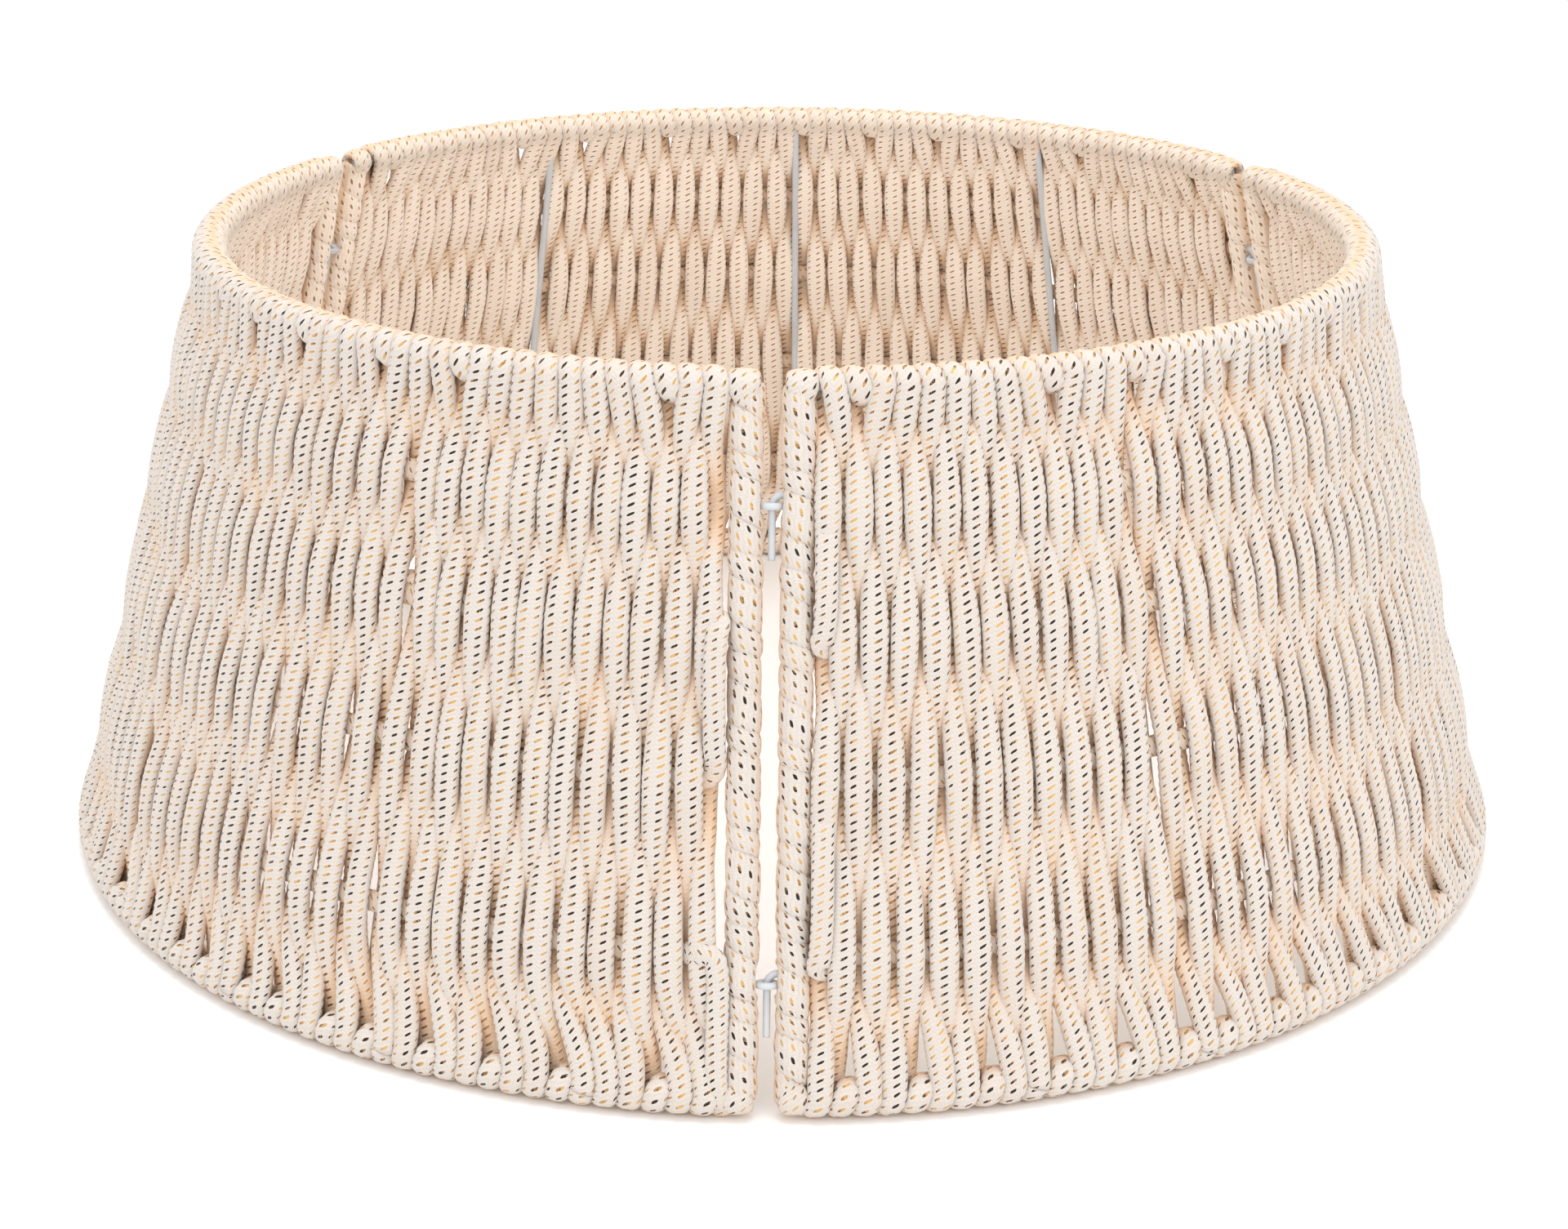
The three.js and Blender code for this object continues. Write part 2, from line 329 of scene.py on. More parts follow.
@dataclass
class TubeMesh:
    """A mesh of tubes, with one map along each cord and one laid out flat for baking."""

    sides: int = 16
    roundness: float = 2.2  # 2 for an oval, and more for a fuller section
    braid_sizes: Braid | None = None
    row_length: float = 0.35  # of tube in one row of the map for baking
    row_margin: float = 0.06  # share of a row's height left free below and above
    row_start: float = 0.01  # share of the map's width left free before a row
    row_span: float = 0.97  # share of it that a row fills
    cap_size: tuple[float, float] = (0.4, 0.3)  # of the caps' discs, in shares of width and of a row
    points: list[np.ndarray] = field(default_factory=list)
    quads: list[np.ndarray] = field(default_factory=list)
    braid: list[np.ndarray] = field(default_factory=list)
    rows: list[np.ndarray] = field(default_factory=list)
    caps: list[list[int]] = field(default_factory=list)
    count: int = 0
    used: float = 0.0

    def add(
        self,
        path: np.ndarray,
        across: np.ndarray,
        width: np.ndarray | float,
        depth: np.ndarray | float,
        start: float = 0.0,
        twist: np.ndarray | float = 0.0,
        around: float = 1.0,
        along: np.ndarray | None = None,
        closed: bool = False,
    ) -> None:
        """Sweeps an oval section along a path.

        Args:
            path: The tube's middle line, rows of X, Y, Z.
            across: Directions of the section's width, roughly square to the path.
            width: Full widths of the section.
            depth: Full depths of the section, square to its width.
            start: Length of cord that came before this stretch, if along isn't given.
            twist: Turns of the cord about its own line at each point.
            around: How many times the braid's columns go round the section.
            along: Lengths of cord at the path's points, if they were measured before.
            closed: Whether the path joins up with itself.
        """
        count = len(path)
        if closed:
            ahead, behind = np.roll(path, -1, axis=0), np.roll(path, 1, axis=0)
            tangent = unit(ahead - behind)
        else:
            tangent = unit(np.gradient(path, axis=0))
        across = np.broadcast_to(across, path.shape)
        side = unit(across - np.sum(across * tangent, axis=1, keepdims=True) * tangent)
        normal = np.cross(tangent, side)
        beta = 2 * np.pi * np.arange(self.sides) / self.sides
        power = 2 / self.roundness
        lateral = np.sign(np.cos(beta)) * np.abs(np.cos(beta)) ** power
        raised = np.sign(np.sin(beta)) * np.abs(np.sin(beta)) ** power
        half_width = np.broadcast_to(width, count)[:, None, None] / 2
        half_depth = np.broadcast_to(depth, count)[:, None, None] / 2
        if along is None:
            along = start + lengths_along(np.vstack([path, path[:1]]) if closed else path)
        v = np.arange(self.sides) / self.sides
        turns = np.broadcast_to(twist, count)
        rings = path[:, None] + side[:, None] * half_width * lateral[None, :, None]
        rings = rings + normal[:, None] * half_depth * raised[None, :, None]
        if self.braid_sizes:
            place = around * v[None] + turns[:, None]
            height = self.braid_sizes.height(along[:count, None], place)[..., None]
            cos, sin = np.cos(beta)[None, :, None], np.sin(beta)[None, :, None]
            rings = rings + (side[:, None] * cos + normal[:, None] * sin) * height
        self.points.append(rings.reshape(-1, 3))

        stations = np.arange(count if closed else count - 1)
        following = (stations + 1) % count
        k = np.arange(self.sides)
        after = (k + 1) % self.sides
        index = self.count + np.stack(
            [
                stations[:, None] * self.sides + k,
                stations[:, None] * self.sides + after,
                following[:, None] * self.sides + after,
                following[:, None] * self.sides + k,
            ],
            axis=-1,
        )
        self.quads.append(index.reshape(-1, 4))
        low, high = along[:-1][:, None], along[1:][:, None]
        t_low, t_high = turns[stations][:, None], turns[following][:, None]
        ones = np.ones((1, self.sides))
        step = 1 / self.sides
        u = np.stack([low * ones, low * ones, high * ones, high * ones], axis=-1)
        near, far = around * v, around * (v + step)
        w = np.stack([near + t_low, far + t_low, far + t_high, near + t_high], axis=-1)
        self.braid.append(np.stack([u, w], axis=-1).reshape(-1, 4, 2))
        plain = np.stack([v * np.ones_like(low), (v + step) * np.ones_like(low)], axis=-1)
        plain = np.stack([plain[..., 0], plain[..., 1], plain[..., 1], plain[..., 0]], axis=-1)
        self.rows.append(np.stack([u - along[0] + self.used, plain], axis=-1).reshape(-1, 4, 2))
        if not closed:
            first = self.count + k
            self.caps += [first[::-1].tolist(), (first + (count - 1) * self.sides).tolist()]
        self.count += count * self.sides
        self.used += float(along[-1] - along[0])

    def build(self, name: str) -> bpy.types.Object:
        """Makes the object of everything added so far.

        Args:
            name: The object's name.

        Returns:
            The object, linked to the scene and shaded smooth.
        """
        points, quads = np.vstack(self.points), np.vstack(self.quads)
        corners = np.concatenate([quads.ravel(), *self.caps]).astype(np.int32)
        sizes = np.concatenate([np.full(len(quads), 4), np.full(len(self.caps), self.sides)])
        mesh = bpy.data.meshes.new(name)
        mesh.vertices.add(len(points))
        mesh.vertices.foreach_set("co", points.astype(np.float32).ravel())
        mesh.loops.add(len(corners))
        mesh.loops.foreach_set("vertex_index", corners)
        mesh.polygons.add(len(sizes))
        mesh.polygons.foreach_set("loop_start", np.cumsum(sizes) - sizes)
        for key, values in ((BRAID_MAP, self.braid_map()), (BAKE_MAP, self.bake_map())):
            layer = mesh.uv_layers.new(name=key)
            layer.data.foreach_set("uv", values.astype(np.float32).ravel())
        mesh.update(calc_edges=True)
        mesh.shade_smooth()
        piece = bpy.data.objects.new(name, mesh)
        bpy.context.scene.collection.objects.link(piece)
        return piece

    def braid_map(self) -> np.ndarray:
        """Length of cord and share of the way round at each corner, and 0 at the caps."""
        caps = np.zeros((len(self.caps) * self.sides, 2))
        return np.vstack([np.vstack(self.braid).reshape(-1, 2), caps])

    def bake_map(self) -> np.ndarray:
        """Lays the tubes flat in rows, one above the other, with the caps in a row of their own.

        Returns:
            Two coordinates from 0 to 1 for each corner.
        """
        flat = np.vstack(self.rows)
        row = np.floor(flat[..., 0].mean(axis=1) / self.row_length)[:, None]
        total = row.max() + 2
        passed = (flat[..., 0] - row * self.row_length) / self.row_length
        flat[..., 0] = self.row_start + self.row_span * passed
        flat[..., 1] = (row + self.row_margin + (1 - 2 * self.row_margin) * flat[..., 1]) / total
        spot = np.arange(len(self.caps) * self.sides) / self.sides * 2 * np.pi
        half_width, half_height = self.cap_size
        level = 1 - 0.5 / total + half_height / total * np.sin(spot)
        disc = np.stack([0.5 + half_width * np.cos(spot), level], axis=-1)
        return np.vstack([flat.reshape(-1, 2), disc])


# ---------------------------------------------------------------------------------------- finishes


class Graph:
    """A material's nodes, written as sums."""

    def __init__(self, name: str) -> None:
        """Starts an empty material.

        Args:
            name: The material's name.
        """
        self.material = bpy.data.materials.new(name)
        self.material.use_nodes = True
        self.tree = self.material.node_tree
        self.tree.nodes.clear()
        self.output = self.tree.nodes.new("ShaderNodeOutputMaterial")
        self.shader = self.tree.nodes.new("ShaderNodeBsdfPrincipled")
        self.tree.links.new(self.shader.outputs["BSDF"], self.output.inputs["Surface"])

    def _feed(self, socket: Socket, value: object) -> None:
        """Sets a socket.

        Args:
            socket: What is set.
            value: A number, a colour or another node's output.
        """
        if isinstance(value, bpy.types.NodeSocket):
            self.tree.links.new(value, socket)
        else:
            socket.default_value = value

    def math(self, operation: str, *values: object) -> Socket:
        """One Math node.

        Args:
            operation: The node's operation.
            values: Its inputs in order.

        Returns:
            The result.
        """
        node = self.tree.nodes.new("ShaderNodeMath")
        node.operation = operation
        for socket, value in zip(node.inputs, values, strict=False):
            self._feed(socket, value)
        return node.outputs[0]

    def times(self, *values: object) -> Socket:
        """The product of two numbers."""
        return self.math("MULTIPLY", *values)

    def plus(self, *values: object) -> Socket:
        """The sum of two numbers."""
        return self.math("ADD", *values)

    def minus(self, *values: object) -> Socket:
        """The first of two numbers less the second."""
        return self.math("SUBTRACT", *values)

    def less_half(self, value: object) -> Socket:
        """A number that ran from 0 to 1, run from -0.5 to 0.5."""
        return self.minus(value, 0.5)

    def ramp(self, value: object, low: float, high: float, to: tuple[float, float] = (0, 1)) -> Socket:
        """A smooth step.

        Args:
            value: What is stepped.
            low: Where the step starts.
            high: Where it ends.
            to: Results at both ends.

        Returns:
            The result.
        """
        node = self.tree.nodes.new("ShaderNodeMapRange")
        node.interpolation_type = "SMOOTHSTEP"
        for socket, given in zip(node.inputs, (value, low, high, *to), strict=False):
            self._feed(socket, given)
        return node.outputs[0]

    def mix(self, share: object, first: object, second: object) -> Socket:
        """Mixes two colours.

        Args:
            share: How much of the second.
            first: A colour.
            second: A colour.

        Returns:
            The mixed colour.
        """
        node = self.tree.nodes.new("ShaderNodeMix")
        node.data_type = "RGBA"
        self._feed(node.inputs[0], share)
        self._feed(node.inputs[6], first)
        self._feed(node.inputs[7], second)
        return node.outputs[2]

    def place(self, *values: object) -> Socket:
        """Joins numbers into a vector.

        Args:
            values: Its X, Y and Z.

        Returns:
            The vector.
        """
        node = self.tree.nodes.new("ShaderNodeCombineXYZ")
        for socket, value in zip(node.inputs, values, strict=False):
            self._feed(socket, value)
        return node.outputs[0]

    def split(self, vector: Socket) -> tuple[Socket, ...]:
        """Parts a vector into its numbers.

        Args:
            vector: The vector.

        Returns:
            Its X, Y and Z.
        """
        node = self.tree.nodes.new("ShaderNodeSeparateXYZ")
        self.tree.links.new(vector, node.inputs[0])
        return tuple(node.outputs)

    def noise(self, vector: object, scale: float, detail: float = 2.0) -> Socket:
        """Soft noise from about 0 to 1.

        Args:
            vector: Where it is read.
            scale: Its fineness.
            detail: How many finer layers it has.

        Returns:
            The noise.
        """
        node = self.tree.nodes.new("ShaderNodeTexNoise")
        self._feed(node.inputs["Vector"], vector)
        node.inputs["Scale"].default_value = scale
        node.inputs["Detail"].default_value = detail
        return node.outputs["Fac"]

    def here(self) -> Socket:
        """The place on the piece, in the frame that all pieces share."""
        return self.tree.nodes.new("ShaderNodeTexCoord").outputs["Object"]

    def scatter(self, vector: object) -> Socket:
        """A number from 0 to 1 that differs from cell to cell.

        Args:
            vector: Where it is read.

        Returns:
            The number.
        """
        node = self.tree.nodes.new("ShaderNodeTexWhiteNoise")
        self._feed(node.inputs["Vector"], vector)
        return node.outputs["Value"]

    def bump(self, height: object, distance: float, strength: float = 1.0) -> None:
        """Raises the surface by a height.

        Args:
            height: The height, from 0 to 1.
            distance: Metres for a height of 1.
            strength: How strongly it shows.
        """
        node = self.tree.nodes.new("ShaderNodeBump")
        node.inputs["Strength"].default_value = strength
        node.inputs["Distance"].default_value = distance
        self._feed(node.inputs["Height"], height)
        self.tree.links.new(node.outputs["Normal"], self.shader.inputs["Normal"])

    def set(self, **values: object) -> None:
        """Sets the shader's sockets by name, with _ for a space."""
        for key, value in values.items():
            self._feed(self.shader.inputs[key.replace("_", " ")], value)


@dataclass(frozen=True)
class BraidPlace:
    """Nodes that say where a place lies in the braid."""

    length: Socket  # of cord up to it
    around: Socket  # share of the way round the cord
    column: Socket  # number of its column of flecks
    offset: Socket  # shares of a column from its middle line
    rising: Socket  # number of strands passed, along strands that climb
    falling: Socket  # the same along strands that fall
    own: Socket  # a number from 0 to 1 of its own for each fleck
    small: Socket  # 1 in the columns of small flecks, or else 0
    inside: Socket  # 0 outside to 1 on the wall's inner side, where warm light is painted and the flecks are smaller
    warmth: Socket  # painted shade: 0 on the outer legs to 1 between them


@dataclass(frozen=True)
class BraidedCord:
    """Soft off-white braid with flecks of metallic yarn that step up the cord."""

    wall: Wall
    braid: Braid
    name: str = "braided_cord"
    crown: Colour = (0.665, 0.61, 0.56, 1)
    # painted shade between the legs
    recess: Colour = (0.78, 0.56, 0.385, 1)
    # painted warm bounce light of the wall's inner side
    inner: Colour = (0.98, 0.86, 0.74, 1)
    rim: Colour = (0.76, 0.665, 0.57, 1)  # painted shade of the inner side where it turns over the top rail, against the top lamp's light
    crown_out: float = 5.5 * MM  # out of the wall, where the painted shade between the legs ends
    recess_out: float = 0.0 * MM  # where the painted shade between the legs is at its darkest and warmest
    inner_out: float = -3.4 * MM  # and where the painted warm light of the inner side is full
    rim_band: float = 9 * MM  # height in which the rim's painted shade comes in
    # painted shade between the strands, and the colour of the slow patches of soil
    groove: Colour = (0.62, 0.44, 0.32, 1)
    groove_share: float = 0.26  # of its colour, as painted shade between the strands
    soiling: float = 0.16  # share of the groove's colour in slow patches
    gold: Colour = (0.68, 0.41, 0.145, 1)
    bronze: Colour = (0.36, 0.19, 0.07, 1)
    # painted shade of the flecks between the legs and inside
    tan: Colour = (0.44, 0.23, 0.095, 1)
    dark: Colour = (0.03, 0.018, 0.012, 1)
    slope: float = 0.8  # pitches a strand climbs from one column to the next
    fleck_thickness: float = 0.31  # share of a pitch
    fleck_reach: float = 0.25  # share of a column to each side
    reach_play: float = 0.04  # how far that differs from fleck to fleck
    small_fleck: float = 0.87  # size of the flecks beside the bold ones, one column in three
    inner_fleck: float = 0.84  # size of the flecks on the inner side
    fleck_edge: tuple[float, float] = (0.75, 1.15)  # cube sums where a fleck ends
    strand_edge: tuple[float, float] = (0.24, 0.28)  # where climbing strands meet falling ones
    hollow_top: float = 0.6  # height on a strand where the painted shade between strands ends
    hollow_fibre: tuple[float, float] = (0.4, 1.2)  # of that painted shade, with and by the yarn's fibres
    patches: tuple[float, float] = (0.4, 0.8)  # of slow noise, between which a patch comes in
    own_tone: float = 0.22  # how far one fleck's tone may lie from the next one's
    side_tone: float = 0.3  # from one side of a fleck to the other
    glint_tone: float = 0.5  # from glint to glint
    warm_tone: float = 0.05  # paler where shade is painted between the legs
    small_tone: float = 0.06  # paler on small flecks
    tones: tuple[float, float, float] = (0.46, 0.53, 0.64)  # where dark, bronze and gold meet
    tan_share: float = 0.75  # of a fleck's painted shade between the legs
    shine: float = 0.5  # metallic share of a fleck
    sheen: float = 0.2
    sheen_roughness: float = 0.5
    specular: float = 0.2
    cloth_roughness: float = 0.92
    fleck_roughness: float = 0.42
    fine_relief: float = 0.2 * MM
    relief_strength: float = 0.75
    fibre_height: float = 0.9  # of the yarn's fibres, in shares of a strand's height
    fleck_depth: float = 0.5  # by which a fleck lies lower
    fibre_fineness: tuple[float, float] = (1900.0, 40.0)  # along the cord and round it
    glint_fineness: tuple[float, float] = (700.0, 50.0)
    drift_fineness: float = 9.0  # of the slow patches, along the cord
    shimmer_fineness: float = 16.0  # of the flecks' run from gold to dark

    def out_of_wall(self, g: Graph) -> Socket:
        """Distance out of the panel's wall, from the place on the piece.

        Args:
            g: The material's nodes.

        Returns:
            Metres, positive outside.
        """
        x, y, z = g.split(g.here())
        radius = g.math("SQRT", g.plus(g.times(x, x), g.times(y, y)))
        level = g.times(g.minus(radius, self.wall.bottom_radius), self.wall.cos_lean)
        return g.plus(level, g.times(g.minus(z, self.wall.bottom_height), self.wall.sin_lean))

    def rim_share(self, g: Graph) -> Socket:
        """How near a place is to the top rail.

        Args:
            g: The material's nodes.

        Returns:
            0 below the rim to 1 on its top.
        """
        height = g.split(g.here())[2]
        return g.ramp(height, self.wall.top_height - self.rim_band, self.wall.top_height)

    def place(self, g: Graph) -> BraidPlace:
        """Finds where a place lies in the braid and out of the wall.

        Args:
            g: The material's nodes.

        Returns:
            The nodes that say so.
        """
        source = g.tree.nodes.new("ShaderNodeUVMap")
        source.uv_map = BRAID_MAP
        length, around, _ = g.split(source.outputs[0])
        column_place = g.times(around, self.braid.columns)
        column = g.math("FLOOR", column_place)
        offset = g.less_half(g.minus(column_place, column))
        half_step = g.times(g.math("FLOORED_MODULO", column, 2.0), 0.5)
        climb = g.plus(g.math("DIVIDE", length, self.braid.pitch), half_step)
        tilt = g.times(offset, self.slope)
        rising, falling = g.minus(climb, tilt), g.plus(climb, tilt)
        own = g.scatter(g.place(g.math("FLOOR", rising), column, 0.0))
        third = g.math("FLOORED_MODULO", g.plus(column, 0.5), 3.0)
        small = g.math("GREATER_THAN", g.math("ABSOLUTE", g.minus(third, 1.5)), 0.6)
        out = self.out_of_wall(g)
        # Shares of the painted warm light inside and of the painted shade between the legs.
        inside = g.ramp(out, self.inner_out, self.recess_out, (1, 0))
        warmth = g.ramp(out, self.recess_out, self.crown_out, (1, 0))
        return BraidPlace(length, around, column, offset, rising, falling, own, small, inside, warmth)

    def fleck(self, g: Graph, at: BraidPlace) -> Socket:
        """Where the metallic flecks lie.

        Args:
            g: The material's nodes.
            at: The place in the braid.

        Returns:
            1 on a fleck and 0 beside it.
        """
        size = g.minus(1.0, g.times(at.small, 1 - self.small_fleck))
        size = g.minus(size, g.times(at.inside, 1 - self.inner_fleck))
        reach = g.plus(self.fleck_reach - self.reach_play, g.times(at.own, 2 * self.reach_play))
        reach = g.times(reach, size)
        across = g.math("POWER", g.math("DIVIDE", g.math("ABSOLUTE", at.offset), reach), 3.0)
        half_thick = g.times(size, self.fleck_thickness / 2)
        off_line = g.math("ABSOLUTE", g.less_half(g.math("FRACT", at.rising)))
        thick = g.math("POWER", g.math("DIVIDE", off_line, half_thick), 3.0)
        return g.ramp(g.plus(across, thick), *self.fleck_edge, (1, 0))

    def strand(self, g: Graph, number: Socket) -> Socket:
        """Height of the strands, two to a pitch.

        Args:
            g: The material's nodes.
            number: Strands passed.

        Returns:
            1 on a strand's back down to 0 between two.
        """
        off = g.times(g.less_half(g.math("FRACT", g.times(number, 2.0))), 2.0)
        return g.minus(1.0, g.times(off, off))

    def ridge(self, g: Graph, at: BraidPlace) -> Socket:
        """Height of the braid, whose strands climb in a column's middle and fall beside it.

        Args:
            g: The material's nodes.
            at: The place in the braid.

        Returns:
            Heights from 0 to 1.
        """
        up, down = self.strand(g, at.rising), self.strand(g, at.falling)
        crossing = g.ramp(g.math("ABSOLUTE", at.offset), *self.strand_edge)
        return g.plus(up, g.times(g.minus(down, up), crossing))

    def cloth(self, g: Graph, at: BraidPlace, ridge: Socket, fibre: Socket) -> Socket:
        """Colour of the cord between the flecks, with painted shade and painted warm light.

        Args:
            g: The material's nodes.
            at: The place in the braid.
            ridge: Height of the strands.
            fibre: Fine noise of the yarn.

        Returns:
            The colour.
        """
        # Painted shade: the yarn is darker and warmer between the outer legs.
        outer = g.mix(at.warmth, self.crown, self.recess)
        # Painted warm light on the wall's inner side, with painted shade where it turns over the top
        # rail.
        base = g.mix(at.inside, outer, g.mix(self.rim_share(g), self.inner, self.rim))
        # Painted shade in the hollows between the strands.
        strand_shade = g.ramp(ridge, 0.0, self.hollow_top, (self.groove_share, 0.0))
        steady, by_fibre = self.hollow_fibre
        base = g.mix(g.times(strand_shade, g.plus(steady, g.times(fibre, by_fibre))), base, self.groove)
        drift = g.noise(g.place(g.times(at.length, self.drift_fineness), at.around, 0.0), 1.0, 1.0)
        return g.mix(g.ramp(drift, *self.patches, (0, self.soiling)), base, self.groove)

    def yarn(self, g: Graph, at: BraidPlace) -> Socket:
        """Colour of the flecks, in runs of gold and runs of dark, with painted shade between the legs.

        Args:
            g: The material's nodes.
            at: The place in the braid.

        Returns:
            The colour.
        """
        tone = g.noise(g.place(g.times(at.length, self.shimmer_fineness), at.column, 3.0), 1.0, 2.0)
        tone = g.plus(tone, g.times(g.less_half(at.own), self.own_tone))
        tone = g.plus(tone, g.times(at.offset, self.side_tone))
        along, across = self.glint_fineness
        glint = g.noise(g.place(g.times(at.length, along), g.times(at.around, across), 5.0), 1.0)
        tone = g.plus(tone, g.times(g.less_half(glint), self.glint_tone))
        # Painted shade on the flecks between the legs: a paler tone, then mostly the shaded fleck
        # colour.
        tone = g.plus(tone, g.times(at.warmth, self.warm_tone))
        tone = g.plus(tone, g.times(at.small, self.small_tone))
        dark_end, bronze_end, gold_start = self.tones
        colour = g.mix(g.ramp(tone, dark_end, bronze_end), self.dark, self.bronze)
        colour = g.mix(g.ramp(tone, bronze_end, gold_start), colour, self.gold)
        return g.mix(g.times(at.warmth, self.tan_share), colour, self.tan)

    def make(self) -> bpy.types.Material:
        """Builds the material.

        Returns:
            The material.
        """
        g = Graph(self.name)
        at = self.place(g)
        fleck, ridge = self.fleck(g, at), self.ridge(g, at)
        along, across = self.fibre_fineness
        fibre = g.noise(g.place(g.times(at.length, along), g.times(at.around, across), 0.0), 1.0, 3.0)
        smoother = g.times(fleck, self.cloth_roughness - self.fleck_roughness)
        g.set(
            Base_Color=g.mix(fleck, self.cloth(g, at, ridge, fibre), self.yarn(g, at)),
            Metallic=g.times(fleck, self.shine),
            Roughness=g.minus(self.cloth_roughness, smoother),
            Sheen_Weight=self.sheen,
            Sheen_Roughness=self.sheen_roughness,
            Specular_IOR_Level=self.specular,
        )
        height = g.plus(ridge, g.times(fibre, self.fibre_height))
        height = g.minus(height, g.times(fleck, self.fleck_depth))
        g.bump(height, self.fine_relief, self.relief_strength)
        return g.material


@dataclass(frozen=True)
class PowderCoat:
    """Satin off-white powder coat with a faint orange peel."""

    name: str = "powder_coated_wire"
    coat: Colour = (0.60, 0.62, 0.645, 1)
    worn: Colour = (0.54, 0.56, 0.59, 1)
    peel: float = 0.05 * MM
    peel_strength: float = 0.4
    blotch_fineness: float = 60.0
    blotches: tuple[float, float] = (0.45, 0.75)  # of noise, between which the coat looks worn
    grain_fineness: float = 1500.0
    roughness: tuple[float, float] = (0.34, 0.16)  # its least, and what the grain adds

    def make(self) -> bpy.types.Material:
        """Builds the material.

        Returns:
            The material.
        """
        g = Graph(self.name)
        here = g.here()
        blotch = g.noise(here, self.blotch_fineness, 3.0)
        grain = g.noise(here, self.grain_fineness, 1.0)
        least, more = self.roughness
        g.set(
            Base_Color=g.mix(g.ramp(blotch, *self.blotches), self.coat, self.worn),
            Roughness=g.plus(least, g.times(grain, more)),
            Specular_IOR_Level=0.5,
        )
        g.bump(grain, self.peel, self.peel_strength)
        return g.material


# ------------------------------------------------------------------------------------ wire and cord


@dataclass
class Dresser:
    """Finishes pieces, seats them on their bodies and reports them."""

    cord: bpy.types.Material
    wire: bpy.types.Material

    def seat(
        self, mesh: TubeMesh, name: str, panel: Panel, nodes: tuple[str, ...], braided: bool
    ) -> bpy.types.Object:
        """Builds a piece and ties it to the frame.

        Args:
            mesh: The piece's tubes, in the panel's own place in the ring.
            name: The piece's name.
            panel: The panel that it rides on.
            nodes: CAD nodes that it stands for.
            braided: Whether it is cord, or else wire.

        Returns:
            The piece.
        """
        piece = mesh.build(name)
        piece.data.materials.append(self.cord if braided else self.wire)
        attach(piece, panel.body)
        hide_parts(*nodes)
        LOG.info("%s: %d faces", name, len(piece.data.polygons))
        return piece


